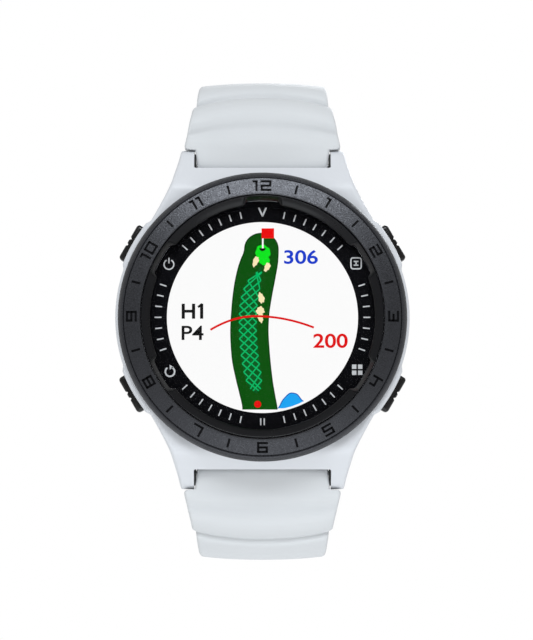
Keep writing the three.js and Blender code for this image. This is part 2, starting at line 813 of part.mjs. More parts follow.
function buckleFrame() {
  const corner = 2.2;
  const outline = polygon([
    [-BUCKLE_ARM_OUT, -1.6],
    [-BUCKLE_ARM_IN, -1.6],
    [-BUCKLE_ARM_IN, BUCKLE_BAR_Y],
    [BUCKLE_ARM_IN, BUCKLE_BAR_Y],
    [BUCKLE_ARM_IN, -1.6],
    [BUCKLE_ARM_OUT, -1.6],
    ...arc(BUCKLE_ARM_OUT - corner, BUCKLE_REACH - corner, corner, 0, 90, 5),
    ...arc(-BUCKLE_ARM_OUT + corner, BUCKLE_REACH - corner, corner, 90, 180, 5),
  ]);
  const frame = solid(plate(outline, -BUCKLE_T / 2, BUCKLE_T / 2));
  return cut(frame, solid(rod("x", 0.85, -11.9, 11.9)));
}
function tang() {
  const blade = across(
    [
      [0, 0.3],
      [3, 0.5],
      [7, 1.1],
      [9.6, 1.1],
      [9.8, 1.4],
      [9.6, 1.9],
      [7, 2.1],
      [3, 1.8],
      [0, 1.45],
    ],
    TANG_HALF,
  );
  const barrel = rod("x", 1.5, -TANG_HALF, TANG_HALF);
  return cut(join(solid(barrel), solid(blade)), solid(rod("x", BAR_BORE_R, -3, 3)));
}
const atBuckle = (made) => onStrap(geometryOf(made), UPPER_LENGTH, UPPER_CURL);
addMesh(upper, "buckle_frame", atBuckle(buckleFrame()), STEEL);
addMesh(upper, "buckle_bar", onStrap(rod("x", BAR_R, -11.8, 11.8), UPPER_LENGTH, UPPER_CURL), STEEL);
addMesh(upper, "buckle_tang", atBuckle(tang()), STEEL);

// Stand the watch up: the display faces -Y and 12 o'clock points to +Z.
root.rotation.x = Math.PI / 2;
export default root;
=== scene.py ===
"""Golf GPS watch: the finished look of a round watch on a white silicone strap.

The watch's own frame is used throughout, in millimetres: +X points to 3 o'clock, +Y to 12 o'clock
and +Z out of the display, with the case back on Z = 0. Each finished piece is scaled to metres and
stood up, so that the display faces -Y and 12 o'clock points to +Z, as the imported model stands.
"""

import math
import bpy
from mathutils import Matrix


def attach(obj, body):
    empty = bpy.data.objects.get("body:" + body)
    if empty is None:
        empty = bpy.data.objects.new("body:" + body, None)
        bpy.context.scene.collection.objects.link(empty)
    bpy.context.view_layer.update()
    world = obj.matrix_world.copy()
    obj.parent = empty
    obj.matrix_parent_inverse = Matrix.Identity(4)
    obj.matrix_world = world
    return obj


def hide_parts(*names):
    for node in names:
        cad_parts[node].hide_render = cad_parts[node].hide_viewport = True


bl_info = {
    "name": "Golf GPS Watch",
    "version": (1, 0, 0),
    "blender": (4, 5, 0),
    "location": "View3D > Sidebar > Watch",
    "description": "Builds the finished surfaces of a golf GPS watch round its packed frame",
    "category": "Object",
}

import bmesh
import bpy
from bpy.props import FloatProperty, FloatVectorProperty, IntProperty, PointerProperty
from mathutils import Matrix, Vector

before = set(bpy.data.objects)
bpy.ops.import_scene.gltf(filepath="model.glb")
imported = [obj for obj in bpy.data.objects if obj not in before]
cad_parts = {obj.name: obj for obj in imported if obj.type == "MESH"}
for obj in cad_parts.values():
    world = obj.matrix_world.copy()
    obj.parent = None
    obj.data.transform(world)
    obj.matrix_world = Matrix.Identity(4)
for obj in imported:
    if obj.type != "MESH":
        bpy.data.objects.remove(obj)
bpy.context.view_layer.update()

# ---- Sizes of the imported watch, in millimetres ---------------------------------------------------

RING = 256  # sides of the large round pieces
BAR_Y, BAR_Z = 24.8, 2.8
CASE_R, CASE_TOP = 23.5, 10.0
LUG_TIP_R = 2.6
LUG_SLOPE = BAR_Y + BAR_Z + LUG_TIP_R * math.sqrt(2)  # height plus distance from the centre, up the lug
SLOT_HALF, BRIDGE_Y, POCKET_R = 11.0, 24.2, 2.5
BUTTONS = {"upper_right": 60, "lower_right": 120, "lower_left": 240, "upper_left": 300}
BUTTON_Z = 5.0
SCREW_ANGLES = (45, 135, 225, 315)
SCREW_CIRCLE_R = 18.4
CONTACT_XS, CONTACT_Y = (-3.75, -1.25, 1.25, 3.75), -11.6
BAND_IN, BAND_OUT = (19.55, 13.4), (22.0, 12.75)  # radius and height of the numeral band's edges
ROOT_LENGTH, SHOULDER_R = 2.8, 9.5
UPPER_CURL, LOWER_CURL = 42.0, 65.0
UPPER_LENGTH, LOWER_LENGTH = 75.0, 115.0
FIRST_HOLE, HOLE_PITCH, HOLE_COUNT = 50.0, 5.5, 10
FIXED_KEEPER, FREE_KEEPER = 66.5, 56.0
RELEASE_X, RELEASE_TRAVEL = 7.0, 1.4


class WatchSettings(bpy.types.PropertyGroup):
    """Sizes and colours a user would change."""

    case_colour: FloatVectorProperty(
        name="Case", description="Moulded case", subtype="COLOR", default=(0.65, 0.665, 0.69), min=0, max=1
    )
    strap_colour: FloatVectorProperty(
        name="Strap",
        description="Silicone strap",
        subtype="COLOR",
        default=(0.61, 0.625, 0.635),
        min=0,
        max=1,
    )
    bezel_colour: FloatVectorProperty(
        name="Bezel", description="Numeral ring", subtype="COLOR", default=(0.005, 0.005, 0.006), min=0, max=1
    )
    numeral_height: FloatProperty(
        name="Numeral height", description="Engraved hours, in mm on the band", default=1.8, min=1, max=2.2
    )
    numeral_depth: FloatProperty(
        name="Numeral depth", description="Depth of the engraving, in mm", default=0.28, min=0.05, max=0.4
    )
    display_glow: FloatProperty(
        name="Display glow", description="Brightness of the display", default=1.0, min=0, max=5
    )
    seed: IntProperty(name="Seed", description="Start of the surface noise", default=7, min=0)
    studio_light: FloatProperty(
        name="Studio light", description="Brightness of the light tent", default=1.0, min=0, max=5
    )
    camera_distance: FloatProperty(
        name="Camera distance",
        description="From the bezel",
        default=0.52,
        min=0.2,
        subtype="DISTANCE",
        unit="LENGTH",
    )


# ---- Modelling helpers ---------------------------------------------------------------------------


def clear_selection():
    """Leaves any edit mode and deselects everything."""
    if bpy.context.mode != "OBJECT":
        bpy.ops.object.mode_set(mode="OBJECT")
    bpy.ops.object.select_all(action="DESELECT")


def pick(obj):
    """Makes a piece the only selected and active one."""
    clear_selection()
    obj.select_set(True)
    bpy.context.view_layer.objects.active = obj


def settle(obj):
    """Applies a piece's place, turn and scale to its mesh."""
    pick(obj)
    bpy.ops.object.transform_apply(location=True, rotation=True, scale=True)


def select_open_edges():
    """In edit mode, selects the edges round openings and nothing else."""
    bpy.ops.mesh.select_all(action="DESELECT")
    bpy.ops.mesh.select_non_manifold(
        extend=False, use_wire=False, use_multi_face=False, use_non_contiguous=False
    )


def tidy_mesh(obj, merge=1e-4):
    """Merges doubles, closes open ends with flat faces and points every face outwards."""
    pick(obj)
    bpy.ops.object.mode_set(mode="EDIT")
    bpy.ops.mesh.select_mode(type="VERT")
    bpy.ops.mesh.select_all(action="SELECT")
    bpy.ops.mesh.remove_doubles(threshold=merge)
    select_open_edges()
    bpy.ops.mesh.fill_holes(sides=0)
    bpy.ops.mesh.select_all(action="SELECT")
    bpy.ops.mesh.normals_make_consistent(inside=False)
    if bmesh.from_edit_mesh(obj.data).calc_volume(signed=True) < 0:
        bpy.ops.mesh.flip_normals()
    bpy.ops.object.mode_set(mode="OBJECT")


def turned(profile, sides=RING):
    """A round shape from (radius, height) points. Ends that don't meet are closed flat."""
    clear_selection()
    radius, height = profile[0]
    bpy.ops.mesh.primitive_circle_add(vertices=sides, radius=radius, location=(0, 0, height))
    obj = bpy.context.object
    bpy.ops.object.mode_set(mode="EDIT")
    bpy.ops.mesh.select_all(action="SELECT")
    for next_radius, next_height in profile[1:]:
        bpy.ops.mesh.extrude_region_move(TRANSFORM_OT_translate={"value": (0, 0, next_height - height)})
        grow = next_radius / radius
        bpy.ops.transform.resize(value=(grow, grow, 1), center_override=(0, 0, next_height))
        radius, height = next_radius, next_height
    bpy.ops.object.mode_set(mode="OBJECT")
    settle(obj)
    tidy_mesh(obj)
    return obj


def sleeve(sides, rings):
    """A plain tube whose rings and sides are then moved one by one: see reshape."""
    clear_selection()
    bpy.ops.mesh.primitive_circle_add(vertices=sides, radius=10)
    obj = bpy.context.object
    bpy.ops.object.mode_set(mode="EDIT")
    bpy.ops.mesh.select_all(action="SELECT")
    for _ in range(rings - 1):
        bpy.ops.mesh.extrude_region_move(TRANSFORM_OT_translate={"value": (0, 0, 1)})
    bpy.ops.object.mode_set(mode="OBJECT")
    return obj


def reshape(obj, sides, place):
    """Moves each point of a sleeve to place(side, ring)."""
    for v in obj.data.vertices:
        turn = math.atan2(v.co.y, v.co.x) / (2 * math.pi) * sides
        v.co = place(round(turn) % sides, round(v.co.z))


def close_loop(obj):
    """Joins the last ring of a reshaped sleeve to the first, so that the wall closes on itself."""
    pick(obj)
    bpy.ops.object.mode_set(mode="EDIT")
    select_open_edges()
    bpy.ops.mesh.bridge_edge_loops()
    bpy.ops.object.mode_set(mode="OBJECT")


def block(low, high):
    """A box between two corners."""
    clear_selection()
    low, high = Vector(low), Vector(high)
    bpy.ops.mesh.primitive_cube_add(size=1, location=(low + high) / 2, scale=high - low)
    obj = bpy.context.object
    settle(obj)
    return obj


def rod(axis, radius, start, end, sides=32, at=(0, 0, 0)):
    """A round bar along one axis, from start to end."""
    clear_selection()
    turn = {"x": (0, math.pi / 2, 0), "y": (math.pi / 2, 0, 0), "z": (0, 0, 0)}[axis]
    middle = Vector(at)
    middle["xyz".index(axis)] += (start + end) / 2
    bpy.ops.mesh.primitive_cylinder_add(
        vertices=sides, radius=radius, depth=end - start, location=middle, rotation=turn
    )
    obj = bpy.context.object
    settle(obj)
    return obj


def slab(outline, low, high):
    """A flat piece with an outline of (x, y) points."""
    clear_selection()
    bpy.ops.mesh.primitive_circle_add(vertices=len(outline), fill_type="NGON")
    obj = bpy.context.object
    for v, (x, y) in zip(obj.data.vertices, outline):
        v.co = (x, y, low)
    bpy.ops.object.mode_set(mode="EDIT")
    bpy.ops.mesh.select_all(action="SELECT")
    bpy.ops.mesh.extrude_region_move(TRANSFORM_OT_translate={"value": (0, 0, high - low)})
    bpy.ops.mesh.select_all(action="SELECT")
    bpy.ops.mesh.normals_make_consistent(inside=False)
    bpy.ops.object.mode_set(mode="OBJECT")
    return obj


def boxes(items):
    """One mesh of boxes: each item is (centre, rotation, size)."""
    clear_selection()
    bpy.ops.mesh.primitive_cube_add(size=0.1)
    obj = bpy.context.object
    bpy.ops.object.mode_set(mode="EDIT")
    bpy.ops.mesh.delete(type="VERT")
    for centre, rotation, size in items:
        bpy.ops.mesh.primitive_cube_add(size=1, location=centre, rotation=rotation, scale=size)
    bpy.ops.object.mode_set(mode="OBJECT")
    return obj


def turn_about(obj, axis, degrees):
    """Turns a piece about an axis of the watch. A negative turn about Z is clockwise on the dial."""
    obj.data.transform(Matrix.Rotation(math.radians(degrees), 4, axis.upper()))
    return obj


def shift(obj, x=0.0, y=0.0, z=0.0):
    obj.data.transform(Matrix.Translation((x, y, z)))
    return obj


def copy_of(obj):
    pick(obj)
    bpy.ops.object.duplicate()
    return bpy.context.object


def joined(objs):
    clear_selection()
    for obj in objs:
        obj.select_set(True)
    bpy.context.view_layer.objects.active = objs[0]
    bpy.ops.object.join()
    return bpy.context.object


def finish_modifier(obj, kind, **settings):
    """Adds a modifier and applies it."""
    pick(obj)
    modifier = obj.modifiers.new(kind.title(), kind)
    for name, value in settings.items():
        setattr(modifier, name, value)
    bpy.ops.object.modifier_apply(modifier=modifier.name)
    return obj


def bevel(obj, width, segments=3, angle=30):
    return finish_modifier(
        obj,
        "BEVEL",
        width=width,
        segments=segments,
        limit_method="ANGLE",
        angle_limit=math.radians(angle),
        use_clamp_overlap=True,
    )


def combine(obj, other, operation="DIFFERENCE", tangled=False):
    """Cuts another piece out of this one, or adds it. Tangled pieces cross themselves."""
    finish_modifier(obj, "BOOLEAN", object=other, operation=operation, solver="EXACT", use_self=tangled)
    bpy.data.objects.remove(other)
    return obj


def smooth(obj, angle=30):
    pick(obj)
    bpy.ops.object.shade_smooth_by_angle(angle=math.radians(angle))
    return obj


def arc(cx, cy, radius, start, end, steps):
    """Points of an arc, ends included, with angles in degrees."""
    angles = [math.radians(start + (end - start) * i / steps) for i in range(steps + 1)]
    return [(cx + radius * math.cos(a), cy + radius * math.sin(a)) for a in angles]


def rounded_rectangle(width, height, corner, x=0, y=0, steps=6):
    w, h = width / 2 - corner, height / 2 - corner
    return (
        arc(x + w, y + h, corner, 0, 90, steps)
        + arc(x - w, y + h, corner, 90, 180, steps)
        + arc(x - w, y - h, corner, 180, 270, steps)
        + arc(x + w, y - h, corner, 270, 360, steps)
    )


def through(points, at):
    """A smooth curve through (place, value) points that doesn't overshoot them."""
    if at <= points[0][0]:
        return points[0][1]
    if at >= points[-1][0]:
        return points[-1][1]
    i = next(k for k in range(1, len(points)) if points[k][0] >= at) - 1

    def slope(k):
        if k <= 0 or k >= len(points) - 1:
            return 0.0
        before = (points[k][1] - points[k - 1][1]) / (points[k][0] - points[k - 1][0])
        after = (points[k + 1][1] - points[k][1]) / (points[k + 1][0] - points[k][0])
        return 0.0 if before * after <= 0 else 2 * before * after / (before + after)

    (x0, y0), (x1, y1) = points[i], points[i + 1]
    w = x1 - x0
    t = (at - x0) / w
    return (
        (2 * t**3 - 3 * t**2 + 1) * y0
        + (t**3 - 2 * t**2 + t) * w * slope(i)
        + (3 * t**2 - 2 * t**3) * y1
        + (t**3 - t**2) * w * slope(i + 1)
    )


def ramp(x, low, high):
    """Rises softly from 0 at low to 1 at high."""
    t = min(1.0, max(0.0, (x - low) / (high - low)))
    return t * t * (3 - 2 * t)


def polar(clock, radius):
    """The (x, y) point at an angle in degrees from 12 o'clock, clockwise."""
    a = math.radians(clock)
    return (radius * math.sin(a), radius * math.cos(a))


def nearest(angle, clocks):
    """Degrees round the dial from an angle to the nearest of some others."""
    return min(abs((angle - clock + 180) % 360 - 180) for clock in clocks)


def deliver(obj, name, body, material, slot, *replaced, angle=30):
    """Scales a finished piece to metres, stands it up and hands it to the frame."""
    obj.name = name
    obj.data.name = name
    smooth(obj, angle)
    obj.scale = (0.001, 0.001, 0.001)
    obj.rotation_euler = (math.pi / 2, 0, 0)
    settle(obj)
    obj.data.materials.clear()
    obj.data.materials.append(material)
    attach(obj, body)
    if replaced:
        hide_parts(*replaced)
    return obj


# ---- Materials -----------------------------------------------------------------------------------


SPECULAR = "Specular IOR Level"


def surface(name, colour, roughness, sockets=None):
    """A Principled surface with its plain values set on the sockets. Returns material and shader."""
    material = bpy.data.materials.new(name)
    material.use_nodes = True
    shader = material.node_tree.nodes["Principled BSDF"]
    shader.inputs["Base Color"].default_value = (*colour, 1)
    shader.inputs["Roughness"].default_value = roughness
    for key, value in (sockets or {}).items():
        shader.inputs[key].default_value = value
    return material, shader


def noise(material, scale, detail=3, stretch=(1, 1, 1), seed=0.0):
    """Noise over the object's own coordinates, in metres."""
    tree = material.node_tree
    place = tree.nodes.new("ShaderNodeTexCoord")
    mapping = tree.nodes.new("ShaderNodeMapping")
    mapping.inputs["Scale"].default_value = stretch
    mapping.inputs["Location"].default_value = (seed, seed * 0.7, seed * 1.3)
    texture = tree.nodes.new("ShaderNodeTexNoise")
    texture.inputs["Scale"].default_value = scale
    texture.inputs["Detail"].default_value = detail
    tree.links.new(place.outputs["Object"], mapping.inputs["Vector"])
    tree.links.new(mapping.outputs["Vector"], texture.inputs["Vector"])
    return texture.outputs["Fac"]


def vary_colour(material, shader, colour, amount, scale, stretch=(1, 1, 1), seed=0.0):
    """Lets the colour drift a little either side of its middle."""
    tree = material.node_tree
    mix = tree.nodes.new("ShaderNodeMix")
    mix.data_type = "RGBA"
    mix.inputs["A"].default_value = (*[c * (1 - amount) for c in colour], 1)
    mix.inputs["B"].default_value = (*[min(1, c * (1 + amount)) for c in colour], 1)
    tree.links.new(noise(material, scale, 4, stretch, seed), mix.inputs["Factor"])
    tree.links.new(mix.outputs["Result"], shader.inputs["Base Color"])


def vary_roughness(material, shader, low, high, scale, stretch=(1, 1, 1), seed=0.0):
    """Lets the roughness drift between two values."""
    tree = material.node_tree
    spread = tree.nodes.new("ShaderNodeMapRange")
    spread.inputs["From Min"].default_value = 0.3
    spread.inputs["From Max"].default_value = 0.7
    spread.inputs["To Min"].default_value = low
    spread.inputs["To Max"].default_value = high
    tree.links.new(noise(material, scale, 5, stretch, seed), spread.inputs["Value"])
    tree.links.new(spread.outputs["Result"], shader.inputs["Roughness"])


def grain(material, shader, scale, depth, detail=2, stretch=(1, 1, 1), seed=0.0):
    """A fine relief, depth in metres."""
    tree = material.node_tree
    bump = tree.nodes.new("ShaderNodeBump")
    bump.inputs["Strength"].default_value = 1.0
    bump.inputs["Distance"].default_value = depth
    tree.links.new(noise(material, scale, detail, stretch, seed), bump.inputs["Height"])
    tree.links.new(bump.outputs["Normal"], shader.inputs["Normal"])


def moulded(name, colour, roughness, relief=6e-6, spread=0.08, drift=0.03, sockets=None, fine=1):
    """Moulded plastic or silicone: an even colour, a fine spark-eroded grain and faint handling marks.

    A larger fine shrinks the drift of colour and gloss, as on a blasted surface.
    """
    seed = bpy.context.scene.watch.seed
    material, shader = surface(name, colour, roughness, sockets)
    vary_colour(material, shader, colour, drift, 60 * fine, seed=seed)
    vary_roughness(material, shader, roughness - spread, roughness + spread, 220 * fine, seed=seed)
    grain(material, shader, 5200, relief, seed=seed)
    return material


def brushed(name, colour, roughness, along):
    """Brushed metal with its lines along one axis of the standing watch."""
    stretch = tuple(0.02 if axis == along else 1.0 for axis in "xyz")
    seed = bpy.context.scene.watch.seed
    material, shader = surface(name, colour, roughness, {"Metallic": 1.0})
    vary_colour(material, shader, colour, 0.08, 9000, stretch, seed)
    vary_roughness(material, shader, roughness - 0.08, roughness + 0.1, 6000, stretch, seed)
    grain(material, shader, 9000, 1e-6, 3, stretch, seed)
    return material


DOT_PITCH = 0.000127  # of the display's dots, in metres


def display_colour(name, colour):
    """A lit colour of the display, broken by the fine grid between its dots."""
    glow = bpy.context.scene.watch.display_glow
    material, shader = surface(
        name, (0.004, 0.004, 0.004), 0.5, {SPECULAR: 0.02, "Emission Strength": glow}
    )
    tree = material.node_tree
    place = tree.nodes.new("ShaderNodeTexCoord")
    mapping = tree.nodes.new("ShaderNodeMapping")
    mapping.inputs["Rotation"].default_value = (-math.pi / 2, 0, 0)
    dots = tree.nodes.new("ShaderNodeTexBrick")
    dots.offset = 0.0
    dots.squash = 1.0
    dots.inputs["Color1"].default_value = (*colour, 1)
    dots.inputs["Color2"].default_value = (*colour, 1)
    dots.inputs["Mortar"].default_value = (*[c * 0.86 for c in colour], 1)
    dots.inputs["Scale"].default_value = 1.0
    dots.inputs["Mortar Size"].default_value = 0.000012
    dots.inputs["Mortar Smooth"].default_value = 0.4
    dots.inputs["Brick Width"].default_value = DOT_PITCH
    dots.inputs["Row Height"].default_value = DOT_PITCH
    tree.links.new(place.outputs["Object"], mapping.inputs["Vector"])
    tree.links.new(mapping.outputs["Vector"], dots.inputs["Vector"])
    tree.links.new(dots.outputs["Color"], shader.inputs["Emission Color"])
    return material


# Moulded finishes: colour, or the setting that holds it, then roughness, relief, spread, drift, any other
# sockets and how fine the drift is.
MOULDED = {
    "white_case": ("case_colour", 0.42, 5e-6, 0.08, 0.03, {SPECULAR: 0.4}),
    "white_silicone": (
        "strap_colour",
        0.6,
        9e-6,
        0.06,
        0.025,
        {"Sheen Weight": 0.15, "Sheen Roughness": 0.4, SPECULAR: 0.3},
    ),
    "black_bezel": (
        "bezel_colour",
        0.33,
        2.6e-5,
        0.12,
        0.4,
        {SPECULAR: 0.65, "Specular Tint": (0.9, 0.92, 1.0, 1)},
        20,
    ),
    # Dark sheet in the engraving floors: painted shade of the grooves, not a paint fill.
    "figure_black": ((0.004, 0.004, 0.005), 0.5, 6e-6, 0.1, 0.3, {SPECULAR: 0.08}),
    "gloss_black": ((0.003, 0.003, 0.004), 0.24, 1e-6, 0.06, 0.3, {SPECULAR: 0.2}),
    "dial_black": ((0.002, 0.002, 0.003), 0.35, 2e-6, 0.05, 0.3, {SPECULAR: 0.04}),
    "dial_print": ((0.55, 0.56, 0.57), 0.5, 2e-6, 0.05, 0.08, {SPECULAR: 0.2}),
    "button_black": ((0.005, 0.0045, 0.004), 0.18, 2e-6, 0.06, 0.3, {SPECULAR: 0.35}),
    "seal_rubber": ((0.02, 0.02, 0.02), 0.75, 8e-6),
    "dark_plastic": ((0.035, 0.035, 0.038), 0.5, 9e-6, 0.08, 0.15),
    "backlight_white": ((0.8, 0.8, 0.8), 0.5),
    "circuit_board": ((0.02, 0.12, 0.05), 0.35, 4e-6, 0.06, 0.3),
    "antenna_ceramic": ((0.55, 0.45, 0.32), 0.6, 9e-6, 0.06, 0.12),
}
# Brushed finishes: colour, roughness and the axis along which the lines run.
BRUSHED = {
    "battery_foil": ((0.55, 0.56, 0.58), 0.4, "z"),
    "steel": ((0.56, 0.56, 0.57), 0.3, "x"),
    "contact_gold": ((0.78, 0.55, 0.2), 0.25, "x"),
}
_finishes = {}


def make_finish(name):
    if name in BRUSHED:
        return brushed(name, *BRUSHED[name])
    colour, *rest = MOULDED[name]
    if isinstance(colour, str):
        colour = getattr(bpy.context.scene.watch, colour)
    return moulded(name, colour, *rest)


def finish(name):
    """The watch's materials, made on first use."""
    if name not in _finishes:
        _finishes[name] = make_finish(name)
    return _finishes[name]


# ---- Case ----------------------------------------------------------------------------------------

ROUND_OFF = 0.75  # radius of the case's rounded edges
FRONT_IN, BACK_IN = 20.1, 20.0  # where the sculpted front and back begin, from the centre
BUTTON_GUARD = 0.42  # how far the case stands out round each button
# Outline of a lug from its tip round to the case: (degrees from 12 o'clock, distance from the centre).
LUG_OUTLINE = (
    (24.6, 30.9),
    (26.0, 30.05),
    (27.8, 28.9),
    (30.5, 27.56),
    (34.5, 25.96),
    (39.6, 24.8),
    (46.4, 23.85),
    (50.5, 23.56),
    (55.0, CASE_R),
)


def outline_radius(angle):
    """Distance from the centre to the case's edge, at an angle in degrees from 12 o'clock."""
    a = abs((angle + 90) % 180 - 90)
    side = through(LUG_OUTLINE, a)
    side += BUTTON_GUARD * (1 - ramp(nearest(angle, BUTTONS.values()), 8.7, 11.2))
    if a > 60:
        return side
    end = (BAR_Y + LUG_TIP_R - 0.03) / math.cos(math.radians(a))
    soft = 0.45  # how far the corner of the lug's tip is rounded
    h = max(0.0, soft - abs(side - end)) / soft
    return min(side, end) - h * h * soft / 4


def case_top(y):
    """Height of the case's front, at a distance y along the lugs."""
    y = abs(y)
    slope = LUG_SLOPE - y
    blend = 0.8
    h = max(0.0, blend - abs(CASE_TOP - slope)) / blend
    top = min(CASE_TOP, slope) - h * h * blend / 4
    if y > BAR_Y + LUG_TIP_R / math.sqrt(2):
        top = BAR_Z + math.sqrt(max(0.0, LUG_TIP_R**2 - (y - BAR_Y) ** 2))
    return top


def case_bottom(x, y):
    """Height of the case's back: a barrel round the cover that turns into the undersides of the lugs."""
    r = math.hypot(x, y)
    y = abs(y)
    lug = ramp(y, 14.5, 18.5)
    turn_in = min(1.0, max(0.0, (r - 21.2) / (CASE_R - 21.2)))
    barrel = 0.5 + 3.6 * (1 - math.sqrt(max(0.0, 1 - turn_in**2)))
    under = BAR_Z - LUG_TIP_R + 0.3 * (1 - ramp(y, 18, 21))
    bottom = barrel * (1 - lug) + under * lug
    if y > BAR_Y:
        bottom = BAR_Z - math.sqrt(max(0.0, LUG_TIP_R**2 - (y - BAR_Y) ** 2))
    return bottom


class WATCH_OT_case(bpy.types.Operator):
    """White case: a barrel that flows into four lugs, with its pockets cut in"""

    bl_idname = "watch.case"
    bl_label = "Case"

    sides = 480

    def execute(self, context):
        shares = (0.0, 0.12, 0.24, 0.36, 0.48, 0.6, 0.7, 0.78, 0.86, 0.93)
        front = [("front", f) for f in shares]
        edge = [("edge", a) for a in (90, 75, 60, 45, 30, 15, 0)]
        wall = [("wall", f) for f in (0.3, 0.7)]
        under = [("under_edge", a) for a in (0, 15, 30, 45, 60, 75, 90)]
        back = [("back", f) for f in reversed(shares)]
        inside = [(20.0, 1.5), (17.0, 1.5), (17.0, 6.2), (17.8, 6.2), (17.8, 9.85), (19.3, 9.85)]
        rings = [(19.3, 11.3), (FRONT_IN, 11.3)] + front + edge + wall + under + back + inside

        def place(side, ring):
            angle = 360 * side / self.sides
            ux, uy = polar(angle, 1)
            kind, value = rings[ring]
            if isinstance(kind, float):
                return Vector((ux * kind, uy * kind, value))
            outer = outline_radius(angle)
            tip = (outer - ROUND_OFF) * uy
            thick = case_top(tip) - case_bottom((outer - ROUND_OFF) * ux, tip)
            soft = min(ROUND_OFF, max(0.05, thick * 0.45))
            start = FRONT_IN if kind in ("front", "edge") else BACK_IN
            if kind in ("front", "back"):
                r = start + (outer - soft - start) * value
            elif kind in ("edge", "under_edge"):
                r = outer - soft * (1 - math.cos(math.radians(value)))
            else:
                r = outer
            x, y = ux * r, uy * r
            top, bottom = case_top(y), case_bottom(x, y)
            drop = soft * (1 - math.sin(math.radians(value))) if "edge" in kind else 0.0
            most = 0.4 * (top - bottom)
            if kind in ("front", "edge"):
                return Vector((x, y, top - min(drop, most)))
            if kind == "wall":
                high, low = top - min(soft, most), bottom + min(soft, most)
                return Vector((x, y, high + (low - high) * value))
            return Vector((x, y, bottom + min(drop, most)))

        case = sleeve(self.sides, len(rings))
        reshape(case, self.sides, place)
        close_loop(case)
        tidy_mesh(case)
        beyond = 32  # past the lugs' tips
        slots = []
        for sign in (1, -1):
            bar = (0, sign * BAR_Y, BAR_Z)
            y0, y1 = sorted((sign * BRIDGE_Y, sign * beyond))
            slots.append(bevel(block((-SLOT_HALF, y0, -4), (SLOT_HALF, y1, 14)), 0.25))
            slots.append(rod("x", POCKET_R, -SLOT_HALF, SLOT_HALF, 96, bar))
            y0, y1 = sorted((sign * (BAR_Y - POCKET_R), sign * beyond))
            slots.append(block((-SLOT_HALF, y0, -4), (SLOT_HALF, y1, BAR_Z)))
            slots.append(rod("x", 0.55, -12.3, 12.3, 32, bar))
        for cutter in slots:
            combine(case, cutter)
        for clock in BUTTONS.values():
            pocket = bevel(block((-3.4, 22.2, BUTTON_Z - 1.9), (3.4, 27, BUTTON_Z + 1.9)), 0.5, 4)
            combine(case, turn_about(pocket, "z", -clock))
            combine(case, turn_about(rod("y", 1.05, 15, 23, 32, (0, 0, BUTTON_Z)), "z", -clock))
        for angle in SCREW_ANGLES:
            combine(case, turn_about(rod("z", 0.75, 1, 4.8, 24, (SCREW_CIRCLE_R, 0, 0)), "z", angle))
        tidy_mesh(case, 1e-5)
        deliver(case, "case_shell", "watch_head", finish("white_case"), "white_case", "case_body", angle=35)
        return {"FINISHED"}


# ---- Bezel, flange and lens ----------------------------------------------------------------------

# Strokes of the engraved figures on a grid from -1 to 1: each runs from one point to the next.
STROKES = {
    "0": [(-1, 1), (1, 1), (1, -1), (-1, -1), (-1, 1)],
    "1": [(-0.5, 1), (0.1, 1), (0.1, -1)],
    "2": [(-1, 1), (1, 1), (1, 0), (-1, 0), (-1, -1), (1, -1)],
    "3": [(-1, 1), (1, 1), (1, 0), (-0.3, 0), (1, 0), (1, -1), (-1, -1)],
    "4": [(-1, 1), (-1, 0), (1, 0), (1, 1), (1, -1)],
    "5": [(1, 1), (-1, 1), (-1, 0), (1, 0), (1, -1), (-1, -1)],
    "6": [(1, 1), (-1, 1), (-1, -1), (1, -1), (1, 0), (-1, 0)],
    "7": [(-1, 1), (1, 1), (1, -1)],
    "8": [(-1, 1), (1, 1), (1, -1), (-1, -1), (-1, 1), (-1, 0), (1, 0)],
    "9": [(1, 0), (-1, 0), (-1, 1), (1, 1), (1, -1), (-1, -1)],
}
STROKE_WIDTH = 0.36
FIGURE_HALF_WIDTH, FIGURE_GAP, ONE_WIDTH = 0.68, 0.32, 0.8
DASH_LENGTH = 1.5


def figure_strokes(text, height):
    """Centre, angle and length of each straight stroke of a number, centred on the origin."""
    half_w, half_h = FIGURE_HALF_WIDTH, (height - STROKE_WIDTH) / 2
    widths = [ONE_WIDTH if c == "1" else 2 * half_w + STROKE_WIDTH for c in text]
    x = -(sum(widths) + FIGURE_GAP * (len(text) - 1)) / 2
    strokes = []
    for char, width in zip(text, widths):
        middle = x + width / 2
        points = [Vector((middle + px * half_w, py * half_h)) for px, py in STROKES[char]]
        for a, b in zip(points, points[1:]):
            strokes.append(((a + b) / 2, math.atan2(b.y - a.y, b.x - a.x), (b - a).length + STROKE_WIDTH))
        x += width + FIGURE_GAP
    return strokes


def band_strokes(marks, low, high):
    """Boxes on the sloped band, between two heights. A mark is (clock angle, upright, strokes)."""
    slope = math.atan2(BAND_IN[1] - BAND_OUT[1], BAND_OUT[0] - BAND_IN[0])
    radius, height = (BAND_IN[0] + BAND_OUT[0]) / 2, (BAND_IN[1] + BAND_OUT[1]) / 2
    items = []
    for clock, upright, strokes in marks:
        base = (
            Matrix.Rotation(-math.radians(clock), 4, "Z")
            @ Matrix.Translation((0, radius, height))
            @ Matrix.Rotation(-slope, 4, "X")
            @ Matrix.Rotation(0 if upright else math.pi, 4, "Z")
        )
        for (x, y), angle, length in strokes:
            m = base @ Matrix.Translation((x, y, (low + high) / 2)) @ Matrix.Rotation(angle, 4, "Z")
            items.append((m.to_translation(), m.to_euler(), (length, STROKE_WIDTH, high - low)))
    return boxes(items)


